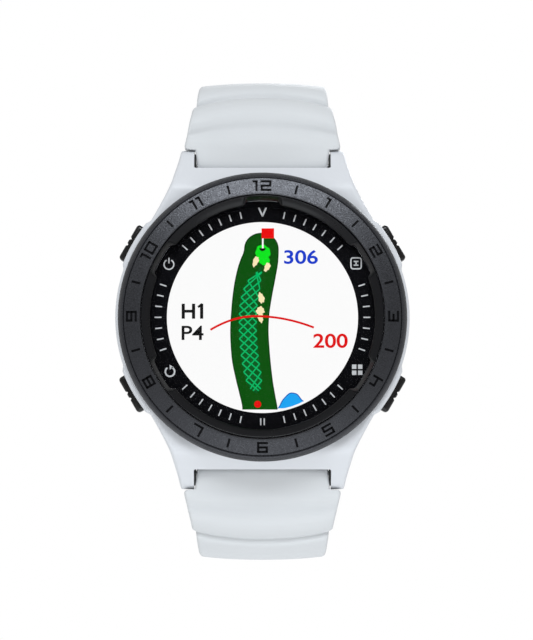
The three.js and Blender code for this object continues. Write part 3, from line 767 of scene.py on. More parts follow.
class WATCH_OT_bezel(bpy.types.Operator):
    """Black bezel with engraved hours and half-hour dashes, a dark sheet of painted shade on their floors"""

    bl_idname = "watch.bezel"
    bl_label = "Bezel"

    def execute(self, context):
        ring = turned(
            [
                (19.4, 11.4),
                (20.2, 11.4),
                (20.2, 10.1),
                (22.75, 10.1),
                (22.95, 10.25),
                (23.0, 10.5),
                (23.0, 11.6),
                (22.95, 11.85),
                (22.45, 12.62),
                (22.32, 12.72),
                (22.2, 12.72),
                (22.08, 12.62),
                (21.98, BAND_OUT[1]),
                (21.2, 12.962),
                (20.4, 13.174),
                (19.7, 13.36),
                (19.55, 13.38),
                (19.44, 13.3),
                (19.4, 13.15),
                (19.4, 11.4),
            ]
        )
        height = context.scene.watch.numeral_height
        marks = []
        for hour in range(1, 13):
            clock = hour * 30
            marks.append((clock, not 100 < clock < 260, figure_strokes(str(hour), height)))
            marks.append((clock - 15, True, [(Vector((0, 0)), math.pi / 2, DASH_LENGTH)]))
        depth = context.scene.watch.numeral_depth
        combine(ring, band_strokes(marks, -depth, 0.5), tangled=True)
        tidy_mesh(ring, 1e-5)
        deliver(ring, "bezel", "watch_head", finish("black_bezel"), "black_bezel", "bezel_ring", angle=25)
        # A dark sheet on the floor of every engraved figure and dash: painted shade of the grooves, so the
        # engraving reads dark on the band.
        groove_shade_floors = band_strokes(marks, -depth - 0.05, -depth + 0.03)
        deliver(groove_shade_floors, "bezel_figures", "watch_head", finish("figure_black"), "black_bezel")
        return {"FINISHED"}


FLANGE_IN, FLANGE_OUT, FLANGE_LOW = 17.9, 19.3, 11.45
FLANGE_NOTCH = 0.62


def flange_edge(angle):
    """Inner radius of the flange: it steps back round 12 o'clock and beside each button."""
    return FLANGE_IN + FLANGE_NOTCH * (1 - ramp(nearest(angle, (0, *BUTTONS.values())), 7.5, 9.8))


class WATCH_OT_flange(bpy.types.Operator):
    """Glossy ring that slopes from the bezel to the glass, and the clear glass itself"""

    bl_idname = "watch.flange"
    bl_label = "Flange and lens"

    sides = 360

    def execute(self, context):
        # Points of its section: share of the way out, and height in mm.
        profile = [(0, 0), (1, 0), (1, 1.6), (0.93, 1.68), (0.85, 1.66), (0.08, 0.62), (0.0, 0.5), (0.0, 0.1)]

        def place(side, ring):
            angle = 360 * side / self.sides
            ux, uy = polar(angle, 1)
            inner = flange_edge(angle)
            share, height = profile[ring]
            r = inner + (FLANGE_OUT - inner) * share
            return Vector((ux * r, uy * r, FLANGE_LOW + height))

        ring = sleeve(self.sides, len(profile))
        reshape(ring, self.sides, place)
        close_loop(ring)
        tidy_mesh(ring)
        bevel(ring, 0.05, 2, 35)
        deliver(ring, "flange", "watch_head", finish("gloss_black"), "gloss_black", "inner_flange", angle=35)

        glass = turned([(18.6, 9.95), (18.6, 11.2), (18.45, 11.35)])
        material, shader = surface(
            "lens_glass",
            (1, 1, 1),
            0.03,
            {"Transmission Weight": 1.0, "IOR": 1.45, "Alpha": 0.03, SPECULAR: 0.2},
        )
        vary_roughness(material, shader, 0.01, 0.05, 90, seed=context.scene.watch.seed)
        material.surface_render_method = "BLENDED"
        deliver(glass, "lens_disc", "watch_head", material, "lens_glass", "lens")
        border = turned([(17.55, 9.84), (18.58, 9.84), (18.58, 9.9), (17.55, 9.9), (17.55, 9.84)])
        deliver(border, "lens_border", "watch_head", finish("dial_black"), "gloss_black")
        return {"FINISHED"}


# ---- Dial and display ----------------------------------------------------------------------------

DIAL_TOP = 9.8
NO_TICK = {0, 6, 54, 60, 66, 114, 120, 126, 174, 186, 234, 240, 246, 294, 300, 306, 354}
PRINT = 0.03  # how far the dial's print stands up
TICK_R, TICK_LENGTH = 16.65, 1.1
SYMBOL_TOP = 9.93  # the four symbols reach up under the rim of the glass
LINE = 0.2  # width of the ticks and of the symbols' thin lines


def bars(items, low, high):
    """One mesh of flat bars: each item is (centre x, y, angle in degrees, length, width)."""
    middle, thick = (low + high) / 2, high - low
    flat = []
    for x, y, angle, length, width in items:
        flat.append(((x, y, middle), (0, 0, math.radians(angle)), (length, width, thick)))
    return boxes(flat)


def ribbon(points, width, low, high, closed=False):
    """A flat line of even width through (x, y) points."""
    left, right = [], []
    count = len(points)
    for i, point in enumerate(points):
        before = Vector(points[i - 1] if closed or i else points[0])
        after = Vector(points[(i + 1) % count] if closed or i + 1 < count else points[-1])
        way = (after - before).normalized()
        side = Vector((-way.y, way.x)) * width / 2
        left.append(tuple(Vector(point) + side))
        right.append(tuple(Vector(point) - side))
    if closed:
        outer = slab(left, low, high)
        inner = slab(right, low - 0.1, high + 0.1)
        grown, hole = (outer, inner) if outer.dimensions.x > inner.dimensions.x else (inner, outer)
        if grown is inner:
            for v in inner.data.vertices:
                v.co.z = low if v.co.z < low else high
            for v in outer.data.vertices:
                v.co.z += 0.1 if v.co.z > (low + high) / 2 else -0.1
        return combine(grown, hole)
    return slab(left + right[::-1], low, high)


class WATCH_OT_dial(bpy.types.Operator):
    """Black dial ring with minute ticks and five small printed symbols"""

    bl_idname = "watch.dial"
    bl_label = "Dial ring"

    def execute(self, context):
        ring = turned(
            [
                (15.25, 9.45),
                (17.65, 9.45),
                (17.65, 9.78),
                (17.63, DIAL_TOP),
                (15.3, DIAL_TOP),
                (15.25, 9.76),
                (15.25, 9.45),
            ]
        )
        deliver(ring, "dial", "watch_head", finish("dial_black"), "gloss_black", "dial_ring")

        low, high = DIAL_TOP - 0.02, DIAL_TOP + PRINT
        ticks = []
        for clock in range(0, 360, 6):
            if clock in NO_TICK:
                continue
            x, y = polar(clock, TICK_R)
            a = math.radians(clock)
            for offset in (-0.28, 0.28) if clock == 180 else (0.0,):
                place = (x + offset * math.cos(a), y - offset * math.sin(a))
                ticks.append((*place, 90 - clock, TICK_LENGTH, LINE))
        self.print_on_dial(bars(ticks, low, high), "dial_ticks")

        high = SYMBOL_TOP
        # Power symbol beside the upper left button.
        x, y = polar(299.5, 17.15)
        circle = ribbon(arc(x, y, 0.78, 118, 422, 28), LINE, low, high)
        stem = bars([(x, y + 0.62, 90, 0.9, LINE)], low, high)
        self.print_on_dial(joined([circle, stem]), "dial_power_mark")
        # Plain badge beside the upper right button.
        x, y = polar(60, 17.25)
        frame_line = ribbon(rounded_rectangle(1.65, 1.75, 0.35, x, y, 4), LINE, low, high, closed=True)
        rungs = [(x, y + 0.3, 0, 0.75, LINE), (x, y - 0.3, 0, 0.75, LINE), (x, y, 90, 0.6, LINE)]
        self.print_on_dial(joined([frame_line, bars(rungs, low, high)]), "dial_badge_mark")
        # Menu squares beside the lower right button.
        x, y = polar(119, 17.25)
        squares = [(x + i * 0.48, y + j * 0.48, 0, 0.7, 0.7) for i in (-1, 1) for j in (-1, 1)]
        self.print_on_dial(bars(squares, low, high), "dial_menu_mark")
        # Return ring beside the lower left button.
        x, y = polar(239.5, 17.1)
        loop = ribbon(arc(x, y, 0.74, 70, -235, 28), 0.26, low, high)
        head = slab([(x - 0.05, y + 1.1), (x + 0.62, y + 0.72), (x - 0.05, y + 0.34)], low, high)
        self.print_on_dial(joined([loop, head]), "dial_return_mark")
        # Plain pointer at 12 o'clock.
        high = DIAL_TOP + PRINT
        left = ribbon([(-0.62, 17.6), (0.0, 16.2), (0.05, 16.2)], 0.26, low, high)
        right = ribbon([(-0.05, 16.2), (0.0, 16.2), (0.62, 17.6)], 0.26, low, high)
        self.print_on_dial(joined([left, right]), "dial_top_mark")
        return {"FINISHED"}

    def print_on_dial(self, obj, name):
        """Hands over one printed mark."""
        tidy_mesh(obj, 1e-5)
        deliver(obj, name, "watch_head", finish("dial_print"), "display")


# The hole on the display: outlines of (x, y) from the display's centre.
ROUGH_LEFT = (
    (-2.85, 10.8),
    (-3.35, 9.4),
    (-3.8, 8.1),
    (-4.45, 5.1),
    (-4.85, 1.6),
    (-5.05, -2.3),
    (-4.85, -6.1),
    (-4.1, -10.1),
    (-3.6, -12.1),
    (-3.1, -14.7),
)
ROUGH_RIGHT = (
    (2.5, 10.8),
    (2.45, 9.3),
    (2.0, 6.4),
    (1.4, 3.2),
    (0.95, 0.0),
    (0.87, -2.0),
    (1.05, -5.3),
    (1.55, -10.1),
    (1.95, -12.5),
    (2.3, -14.7),
)
FAIRWAY_MIDDLE = (
    (-0.3, 8.0),
    (-1.25, 6.0),
    (-1.75, 4.4),
    (-2.3, 1.1),
    (-2.35, -1.5),
    (-2.1, -5.5),
    (-1.45, -9.6),
    (-1.1, -11.4),
    (-1.0, -12.1),
)
# Half the fairway's width at some heights, as (y, width).
FAIRWAY_WIDTHS = ((-12.1, 0.1), (-11.3, 0.9), (-9.0, 1.38), (3.0, 1.42), (6.3, 0.95), (8.0, 0.15))
# Centre x, y, half width, half height and lean of each bunker.
BUNKERS = (
    (-1.1, 8.95, 0.42, 0.85, -0.35),
    (0.75, 8.05, 0.42, 0.75, -0.45),
    (-0.2, 3.1, 0.46, 0.85, 0.25),
    (-0.35, 1.1, 0.66, 0.6, 0.3),
    (-0.3, 0.0, 0.42, 0.8, 0.1),
)
LAYER = 0.02  # thickness of each coloured shape
INK, RED, GREEN = (0.003, 0.003, 0.003), (0.76, 0.003, 0.003), (0.0, 0.80, 0.01)


def line_at(points, y):
    """x of a line of points at height y, smoothly."""
    return through(sorted((py, px) for px, py in points), y)


class WATCH_OT_display(bpy.types.Operator):
    """Lit display: a golf hole seen from above with its distances"""

    bl_idname = "watch.display"
    bl_label = "Display"

    level = 9.36  # height of the lowest layer

    def show(self, obj, name, colour, layer):
        """Hands over one coloured shape, lifted a hair above the layer under it."""
        for v in obj.data.vertices:
            v.co.z += self.level + LAYER * layer
        deliver(obj, name, "watch_head", display_colour(name + "_colour", colour), "display")

    def words(self, text, width, height, x, y, bold=0.0):
        """Figures that fill a box whose lower left corner is at (x, y)."""
        clear_selection()
        bpy.ops.object.text_add()
        obj = bpy.context.object
        obj.data.body = text
        obj.data.extrude = LAYER / 2
        obj.data.offset = bold
        bpy.ops.object.convert(target="MESH")
        xs, ys = [v.co.x for v in obj.data.vertices], [v.co.y for v in obj.data.vertices]
        grow_x, grow_y = width / (max(xs) - min(xs)), height / (max(ys) - min(ys))
        for v in obj.data.vertices:
            v.co = (x + (v.co.x - min(xs)) * grow_x, y + (v.co.y - min(ys)) * grow_y, v.co.z + LAYER / 2)
        return obj

    def blob(self, x, y, half_w, half_h, lean, ragged):
        """A rounded patch with a slightly ragged edge, leaning by an angle in radians."""
        lean_x, lean_y = math.cos(lean), math.sin(lean)
        outline = []
        for i in range(36):
            a = 2 * math.pi * i / 36
            k = 1 + ragged * math.sin(5 * a + 3 * x) * math.cos(2 * a + y)
            px, py = half_w * k * math.cos(a), half_h * k * math.sin(a)
            outline.append((x + px * lean_x - py * lean_y, y + px * lean_y + py * lean_x))
        return slab(outline, 0, LAYER)

    def execute(self, context):
        panel = turned([(16.9, 7.85), (16.9, 9.3), (16.85, 9.35)])
        deliver(
            panel,
            "display_face",
            "watch_head",
            display_colour("display_white", (1.0, 1.0, 1.0)),
            "display",
            "display_panel",
        )
        steps = 40
        low_y, high_y = -14.7, 10.8
        ys = [low_y + (high_y - low_y) * i / steps for i in range(steps + 1)]
        left = [(line_at(ROUGH_LEFT, y), y) for y in ys]
        right = [(line_at(ROUGH_RIGHT, y), y) for y in ys]
        crown = []  # the rounded top end
        for i in range(1, 24):
            a = math.pi * i / 24
            crown.append((-0.175 + 2.675 * math.cos(a), high_y + 2.65 * math.sin(a) ** 0.9))
        rough = right + crown + left[::-1]
        self.show(slab(rough, 0, LAYER), "hole_rough", (0.0, 0.078, 0.0), 0)
        self.show(ribbon(rough, 0.2, 0, LAYER), "hole_edge", (0.0, 0.045, 0.001), 1)

        # Fairway, with a lattice of mown lines.
        ys = [-12.1 + 20.1 * i / 36 for i in range(37)]
        middle = [line_at(FAIRWAY_MIDDLE, y) for y in ys]
        lane = [(m + through(FAIRWAY_WIDTHS, y), y) for m, y in zip(middle, ys)]
        lane += [(m - through(FAIRWAY_WIDTHS, y), y) for m, y in zip(middle, ys)][::-1]
        self.show(slab(lane, 0, LAYER), "fairway", (0.0, 0.095, 0.012), 1)
        lines = []
        pitch = 1.33
        for i in range(15):
            y = -11.4 + i * pitch
            for lean in (1, -1):
                y0, y1 = max(y - pitch, -11.7), min(y + pitch, 7.3)
                a = Vector((line_at(FAIRWAY_MIDDLE, y0) - lean * through(FAIRWAY_WIDTHS, y0), y0))
                b = Vector((line_at(FAIRWAY_MIDDLE, y1) + lean * through(FAIRWAY_WIDTHS, y1), y1))
                c = (a + b) / 2
                lines.append((c.x, c.y, math.degrees(math.atan2(b.y - a.y, b.x - a.x)), (b - a).length, 0.21))
        self.show(bars(lines, 0, LAYER), "fairway_lines", (0.0, 0.50, 0.13), 2)

        self.show(self.blob(0.05, 10.45, 1.2, 1.15, 0.0, 0.1), "putting_green", GREEN, 3)
        self.show(self.blob(0.3, 9.25, 0.85, 0.95, 0.3, 0.1), "green_apron", GREEN, 2)
        sand = [self.blob(*bunker, 0.2) for bunker in BUNKERS]
        self.show(joined(sand), "bunkers", (0.98, 0.84, 0.50), 4)

        cup = arc(0.0, 11.1, 0.5, 180, 360, 16)
        self.show(slab(cup, 0, LAYER), "hole_cup", INK, 5)
        self.show(bars([(0.05, 11.85, 90, 1.6, 0.26)], 0, LAYER), "flag_pole", (1.0, 1.0, 1.0), 6)
        self.show(bars([(0.85, 13.45, 0, 2.0, 1.6)], 0, LAYER), "flag", (0.86, 0.0, 0.0), 7)
        sweep = []
        for i in range(49):
            x = -8.3 + 16.5 * i / 48
            sweep.append((x, 0.2 - (0.042 if x < -1.1 else 0.021) * (x + 1.1) ** 2))
        self.show(ribbon(sweep, 0.34, 0, LAYER), "distance_arc", RED, 6)
        self.show(self.words("306", 5.4, 2.25, 3.45, 8.55, 0.018), "front_distance", (0.006, 0.045, 0.62), 1)
        self.show(self.words("200", 5.5, 2.3, 8.1, -4.88, 0.018), "carry_distance", RED, 1)
        hole = self.words("H1", 3.45, 2.4, -12.9, -0.2, 0.026)
        foot = bars([(-9.95, 1.9, 38, 0.85, 0.36)], 0, LAYER)
        self.show(joined([hole, foot]), "hole_number", INK, 1)
        self.show(self.words("P4", 3.5, 2.3, -12.9, -3.6, 0.012), "hole_par", INK, 1)
        self.show(self.blob(-0.76, -13.85, 0.56, 0.56, 0.0, 0.0), "tee", (0.80, 0.002, 0.002), 2)
        crest = ((2.4, -14.5), (3.3, -13.1), (4.6, -12.05), (5.4, -12.2), (6.55, -13.35))
        shore = [2.4 + 4.15 * i / 24 for i in range(25)]
        fin = [(x, through(crest, x)) for x in shore]
        base = [(5.8, -13.75), (4.6, -14.2), (3.4, -14.5)]
        self.show(slab(fin + base, 0, LAYER), "water", (0.01, 0.38, 0.92), 0)
        self.show(ribbon(fin, 0.16, 0, LAYER), "water_edge", (0.005, 0.10, 0.5), 1)
        return {"FINISHED"}


# ---- Buttons -------------------------------------------------------------------------------------


class WATCH_OT_buttons(bpy.types.Operator):
    """Four glossy bar buttons with their stems"""

    bl_idname = "watch.buttons"
    bl_label = "Buttons"

    def execute(self, context):
        cap = block((-3.2, 22.97, -1.7), (3.2, 24.9, 1.7))
        bevel(cap, 0.55, 5)
        for sign in (1, -1):
            # A groove along the cap's outer face.
            relief = block((-0.3, -0.3, -3), (0.3, 0.3, 3))
            turn_about(relief, "z", 45)
            for v in relief.data.vertices:
                v.co.x = v.co.x * 0.8 + sign * 0.55
                v.co.y += 24.98
            combine(cap, relief)
        stem = turned(
            [(0.9, 16.15), (0.9, 16.4), (0.6, 16.4), (0.6, 16.8), (0.9, 16.8), (0.9, 23.2)],
            32,
        )
        turn_about(stem, "x", -90)
        combine(cap, stem, "UNION")
        tidy_mesh(cap, 1e-5)
        bevel(cap, 0.05, 2, 40)
        for name, clock in BUTTONS.items():
            button = turn_about(shift(copy_of(cap), z=BUTTON_Z), "z", -clock)
            node = "button_" + name
            deliver(button, "push_" + name, node, finish("button_black"), "button_black", node, angle=35)
        bpy.data.objects.remove(cap)
        return {"FINISHED"}


# ---- Back ----------------------------------------------------------------------------------------


class WATCH_OT_back(bpy.types.Operator):
    """Back cover with turned steps, screws and the gold charging contacts"""

    bl_idname = "watch.back"
    bl_label = "Back cover"

    def execute(self, context):
        cover = turned(
            [
                (14.6, 0.0),
                (14.7, 0.1),
                (14.9, 0.16),
                (15.3, 0.16),
                (15.5, 0.1),
                (15.6, 0.0),
                (19.3, 0.0),
                (19.65, 0.12),
                (19.8, 0.4),
                (19.8, 1.4),
                (15.9, 1.4),
                (15.9, 2.4),
                (15.1, 2.4),
                (15.1, 1.4),
            ]
        )
        pocket = bevel(slab(rounded_rectangle(11, 3, 1.2, 0, CONTACT_Y), -1, 0.3), 0.1)
        combine(cover, pocket)
        for x in CONTACT_XS:
            combine(cover, rod("z", 0.75, -1, 2, 32, (x, CONTACT_Y, 0)))
        for angle in SCREW_ANGLES:
            combine(cover, turn_about(rod("z", 1.3, -1, 1.05, 40, (SCREW_CIRCLE_R, 0, 0)), "z", angle))
            combine(cover, turn_about(rod("z", 0.8, 0, 2, 24, (SCREW_CIRCLE_R, 0, 0)), "z", angle))
        tidy_mesh(cover, 1e-5)
        deliver(cover, "back_plate", "watch_head", finish("dark_plastic"), "dark_plastic", "back_cover")

        screw = turned([(0.95, 0.2), (1.15, 0.36), (1.15, 0.95), (0.65, 0.95), (0.65, 4.4), (0.55, 4.5)], 40)
        combine(screw, rod("z", 0.52, -1, 0.6, 6))
        tidy_mesh(screw, 1e-5)
        for i, angle in enumerate(SCREW_ANGLES, 1):
            copy = turn_about(shift(copy_of(screw), SCREW_CIRCLE_R), "z", angle)
            deliver(copy, f"cover_screw_{i}", "watch_head", finish("steel"), "steel", f"back_screw_{i}")
        bpy.data.objects.remove(screw)
        pad = turned([(0.5, 0.15), (0.65, 0.28), (0.65, 1.85), (0.6, 1.9)], 40)
        for i, x in enumerate(CONTACT_XS, 1):
            copy = shift(copy_of(pad), x, CONTACT_Y)
            gold = finish("contact_gold")
            deliver(copy, f"charge_pad_{i}", "watch_head", gold, "contact_gold", f"charge_contact_{i}")
        bpy.data.objects.remove(pad)
        return {"FINISHED"}


# ---- Strap ---------------------------------------------------------------------------------------


def path_at(s, curl):
    """Place (y, z) and heading of the strap's middle line, s from the spring bar along it."""
    shoulder_end = ROOT_LENGTH + SHOULDER_R * math.pi / 2
    if s <= ROOT_LENGTH:
        return BAR_Y + s, BAR_Z, 0.0
    y, z = BAR_Y + ROOT_LENGTH, BAR_Z - SHOULDER_R
    if s <= shoulder_end:
        turn = (s - ROOT_LENGTH) / SHOULDER_R
        return y + SHOULDER_R * math.sin(turn), z + SHOULDER_R * math.cos(turn), -turn
    turn = (s - shoulder_end) / curl
    return y + SHOULDER_R - curl + curl * math.cos(turn), z - curl * math.sin(turn), -math.pi / 2 - turn


def on_strap(obj, s, curl):
    """Moves a piece made about the origin, with +Y along the strap and +Z out of it, onto the strap."""
    y, z, heading = path_at(s, curl)
    obj.data.transform(Matrix.Translation((0, y, z)) @ Matrix.Rotation(heading, 4, "X"))
    return obj


# Sections of the strap as (distance along it, value): half widths, heights of the outside and the inside
# from the middle line, how far the features arch back at the edges, and how far the outside drops there.
HALF_WIDTHS = (
    (2.8, 12.6),
    (4.4, 12.4),
    (6.2, 12.0),
    (8.3, 11.55),
    (9.7, 11.35),
    (10.05, 11.2),
    (10.25, 10.8),
    (12, 10.6),
    (17.7, 10.2),
    (21, 10.0),
)
OUTSIDES = (
    (-0.6, 2.1),
    (0.1, 2.33),
    (1.1, 2.2),
    (2.4, 1.93),
    (3.6, 1.74),
    (4.5, 1.56),
    (5.1, 1.62),
    (5.9, 2.2),
    (6.6, 2.54),
    (7.3, 2.56),
    (8.0, 2.45),
    (8.8, 2.24),
    (9.5, 1.95),
    (9.95, 1.66),
    (10.2, 1.42),
    (10.4, 1.4),
    (10.8, 1.98),
    (11.4, 2.14),
    (12.5, 2.1),
    (15, 1.95),
    (17.7, 1.8),
    (21, 1.7),
    (34, 1.3),
)
INSIDES = ((2.8, 2.1), (6.2, 2.05), (12, 1.9), (17.7, 1.8), (21, 1.7), (34, 1.3))
BOWS = ((3.0, 0.0), (5.0, 0.7), (7.0, 1.5), (9.5, 1.75), (12.0, 1.7), (22.0, 0.0))
CROWNS = ((0.0, 0.1), (6.0, 0.3), (9.5, 0.45), (12.0, 0.55), (18.0, 0.55), (30.0, 0.35))
TONGUE_WIDTHS = ((-0.65, 9.6), (-0.5, 10.1), (-0.2, 10.4), (0.2, 10.58), (0.8, 10.64))
END_HALF_WIDTH, TIP_LENGTH, STRAP_CORNER = 10.0, 8.5, 0.55
BORE_R = 0.9  # of the bores for the spring bars and the buckle's bar
SECTION_SIDES, CORNER_POINTS = 72, 6


def section_outline():
    """Where each point of a strap section lies: (across, up, corner x, corner y), each -1 to 1."""
    points = []
    flat = SECTION_SIDES // 2 - 2 * CORNER_POINTS
    for across, up, start in ((1, 1, 0), (-1, 1, 90), (-1, -1, 180), (1, -1, 270)):
        for i in range(CORNER_POINTS):
            a = math.radians(start + 90 * i / (CORNER_POINTS - 1))
            points.append((across, up, math.cos(a) - across, math.sin(a) - up))
        if up == across:
            for i in range(1, flat + 1):
                points.append((across * (1 - 2 * i / (flat + 1)), up, 0.0, 0.0))
    return points


OUTLINE = section_outline()


def strap_point(side, s, upper, half, narrowing=1.0, thinning=1.0):
    """A point of the strap's skin: s is along the strap before the features arch back at the edges."""
    across, up, corner_x, corner_y = OUTLINE[side]
    curl = UPPER_CURL if upper else LOWER_CURL
    corner = STRAP_CORNER * min(1.0, thinning + 0.2)
    half *= narrowing
    flat = half - corner
    x = across * flat if abs(across) < 1 else across * half + corner * corner_x
    share = min(1.0, abs(x) / half)
    at = s - through(BOWS, s) * share**2 * (1.0 if upper else 0.6)
    crown_share = min(1.0, abs(x) / max(half, 12.6 - 0.25 * max(0.0, s - 2.8))) if s < 9 else share
    outside = through(OUTSIDES, feature_at(s, upper)) - through(CROWNS, s) * crown_share**2.4
    if upper:
        outside += 0.4 * ramp(s, 11.5, 14) * (1 - ramp(s, 18, 26))
    inside = through(INSIDES, s)
    height = outside if up > 0 else -inside
    height = height * thinning + corner * corner_y
    y, z, heading = path_at(at, curl)
    if at < 0:
        y = BAR_Y + at
    return Vector((x, y - math.sin(heading) * height, z + math.cos(heading) * height))


def feature_at(s, upper):
    """The step lies further along the upper half than along the lower."""
    return s - (1.3 * ramp(s, 3, 9) if upper else 0.0)


def strap_half(length, upper):
    """The band of one strap half, from its tongue to its end. The lower half ends in a rounded tip."""
    tip = not upper
    # Each station is (distance along, half width, narrowing, thinning).
    stations = [(s, w, 1.0, 1.0) for s, w in TONGUE_WIDTHS]
    stations += [(1.4, 10.7, 1.0, 1.0), (2.0, 10.8, 1.0, 1.0), (2.55, 10.9, 1.0, 1.0)]
    stations += [(2.68, 12.2, 1.0, 1.0), (2.85, 12.5, 1.0, 1.0)]
    s = 3.1
    end = length - (TIP_LENGTH if tip else 0)
    while s < end - 0.6:
        at = feature_at(s, upper)
        stations.append((s, through(HALF_WIDTHS, at), 1.0, 1.0))
        s += 0.1 if 9.55 < at < 10.45 else 0.25 if s < 14 else 0.7 if s < 22 else 1.3
    stations.append((end, END_HALF_WIDTH, 1.0, 1.0))
    if tip:
        for i in range(1, 19):
            share = math.sin(math.pi / 2 * i / 18)
            narrow = math.sqrt(max(0.0, 1 - (0.985 * share) ** 2))
            stations.append((end + TIP_LENGTH * share, END_HALF_WIDTH, narrow, 1 - 0.35 * share**6))
    band = sleeve(SECTION_SIDES, len(stations))

    def place(side, ring):
        s, half, narrowing, thinning = stations[ring]
        return strap_point(side, s, upper, half, narrowing, thinning)

    reshape(band, SECTION_SIDES, place)
    tidy_mesh(band)
    return band


def root_work(band):
    """Adds the barrel round the spring bar, and cuts its bore and the quick-release slot."""
    barrel = bevel(rod("x", 2.1, -10.5, 10.5, 64, (0, BAR_Y, BAR_Z)), 0.3)
    combine(band, barrel, "UNION")
    combine(band, rod("x", BORE_R, -12, 12, 32, (0, BAR_Y, BAR_Z)))
    low, high = RELEASE_X - 0.6 - RELEASE_TRAVEL - 0.3, RELEASE_X + 0.9
    slot = bevel(block((low, BAR_Y - 0.75, BAR_Z - 4), (high, BAR_Y + 0.75, BAR_Z)), 0.2)
    return combine(band, slot)


class WATCH_OT_strap(bpy.types.Operator):
    """White silicone strap: a flared root with a hollow, a ridge and an arched step on each half"""

    bl_idname = "watch.strap"
    bl_label = "Strap"

    def execute(self, context):
        silicone = finish("white_silicone")
        upper = root_work(strap_half(UPPER_LENGTH, True))
        end = bevel(rod("x", 1.7, -10, 10, 64), 0.4)
        combine(upper, on_strap(end, UPPER_LENGTH, UPPER_CURL), "UNION")
        combine(upper, on_strap(rod("x", BORE_R, -12, 12, 32), UPPER_LENGTH, UPPER_CURL))
        notch = bevel(block((-1.3, -3.0, -4), (1.3, 4, 4)), 0.3)
        combine(upper, on_strap(notch, UPPER_LENGTH, UPPER_CURL))
        tidy_mesh(upper, 1e-5)
        deliver(upper, "upper_silicone", "upper_band", silicone, "white_silicone", "upper_strap", angle=40)

        lower = root_work(strap_half(LOWER_LENGTH, False))
        for i in range(HOLE_COUNT):
            hole = bevel(slab(rounded_rectangle(3.0, 2.4, 1.1), -4, 4), 0.1, 1, 80)
            combine(lower, on_strap(hole, FIRST_HOLE + i * HOLE_PITCH, LOWER_CURL))
        tidy_mesh(lower, 1e-5)
        turn_about(lower, "z", 180)
        deliver(lower, "lower_silicone", "lower_band", silicone, "white_silicone", "lower_strap", angle=40)
        # Dark discs on the spring bars fill the gaps between the strap and the lugs: painted shade of those
        # gaps, in the seal rubber finish.
        for name, sign in (("upper", 1), ("lower", -1)):
            bar = (0, sign * BAR_Y, BAR_Z)
            gap_shade_discs = [rod("x", 2.0, *ends, 48, bar) for ends in ((10.72, 10.97), (-10.97, -10.72))]
            deliver(joined(gap_shade_discs), name + "_washers", "watch_head", finish("seal_rubber"), "seal_rubber")
        return {"FINISHED"}


class WATCH_OT_keepers(bpy.types.Operator):
    """Two silicone keepers round the buckle half of the strap"""

    bl_idname = "watch.keepers"
    bl_label = "Keepers"

    def execute(self, context):
        section = 20  # points round the wall
        inner_w, low, high, wall = 10.35, -1.6, 4.6, 1.1
        outline = rounded_rectangle(2 * inner_w, high - low, 0.9, 0, (low + high) / 2, 11)
        count = len(outline)
        for name, place_s, length, body, node in (
            ("keeper_fixed", FIXED_KEEPER, 5.0, "upper_band", "fixed_keeper"),
            ("keeper_loose", FREE_KEEPER, 6.0, "sliding_keeper", "free_keeper"),
        ):
            ring = sleeve(count, section)
            wall_line = rounded_rectangle(wall, length, 0.4, wall / 2, 0, (section // 4) - 1)

            def place(side, r, wall_line=wall_line):
                px, pz = outline[side]
                nx, nz = outline[(side + 1) % count]
                bx, bz = outline[side - 1]
                way = Vector((nx - bx, nz - bz)).normalized()
                out = Vector((way.y, -way.x))
                step, along = wall_line[r]
                return Vector((px + out.x * step, along, pz + out.y * step))

            reshape(ring, count, place)
            close_loop(ring)
            tidy_mesh(ring, 1e-5)
            on_strap(ring, place_s, UPPER_CURL)
            deliver(ring, name, body, finish("white_silicone"), "white_silicone", node, angle=40)
        return {"FINISHED"}


class WATCH_OT_buckle(bpy.types.Operator):
    """Brushed steel buckle with its bar and tang"""

    bl_idname = "watch.buckle"
    bl_label = "Buckle"

    def execute(self, context):
        arm_in, arm_out, back, bar_y, reach = 10.4, 12.2, -1.6, 7.2, 9.2
        inner, corner = 0.8, 2.2  # radii of the window's corners and the outer corners
        outline = (
            [(-arm_out, back), (-arm_in, back)]
            + arc(-arm_in + inner, bar_y - inner, inner, 180, 90, 6)
            + arc(arm_in - inner, bar_y - inner, inner, 90, 0, 6)
            + [(arm_in, back), (arm_out, back)]
            + arc(arm_out - corner, reach - corner, corner, 0, 90, 12)
            + arc(-arm_out + corner, reach - corner, corner, 90, 180, 12)
        )
        frame_piece = slab(outline, -1, 1)
        bevel(frame_piece, 0.4, 4, 50)
        combine(frame_piece, rod("x", 0.85, -11.9, 11.9, 32))
        tidy_mesh(frame_piece, 1e-5)
        on_strap(frame_piece, UPPER_LENGTH, UPPER_CURL)
        deliver(frame_piece, "buckle_loop", "buckle", finish("steel"), "steel", "buckle_frame", angle=40)

        underside = [(0, 0.3), (3, 0.5), (7, 1.12), (9.5, 1.12)]
        top = [(9.8, 1.35), (9.6, 1.85), (7, 2.1), (3, 1.8), (0, 1.45)]
        blade = slab(underside + top, -1.1, 1.1)
        # Drawn from the side: the outline's x and y become the tang's length and height.
        blade.data.transform(Matrix(((0, 0, 1, 0), (1, 0, 0, 0), (0, 1, 0, 0), (0, 0, 0, 1))))
        barrel = rod("x", 1.5, -1.1, 1.1, 48)
        combine(blade, barrel, "UNION")
        tidy_mesh(blade, 1e-5)
        bevel(blade, 0.22, 3, 50)
        combine(blade, rod("x", BORE_R, -3, 3, 32))
        tidy_mesh(blade, 1e-5)
        on_strap(blade, UPPER_LENGTH, UPPER_CURL)
        deliver(blade, "tang_blade", "tang", finish("steel"), "steel", "buckle_tang", angle=40)

        bar = bevel(rod("x", 0.75, -11.8, 11.8, 40), 0.15)
        on_strap(bar, UPPER_LENGTH, UPPER_CURL)
        deliver(bar, "buckle_pin", "buckle", finish("steel"), "steel", "buckle_bar", angle=40)
        return {"FINISHED"}


# ---- Inside pieces and hardware kept from the frame ----------------------------------------------

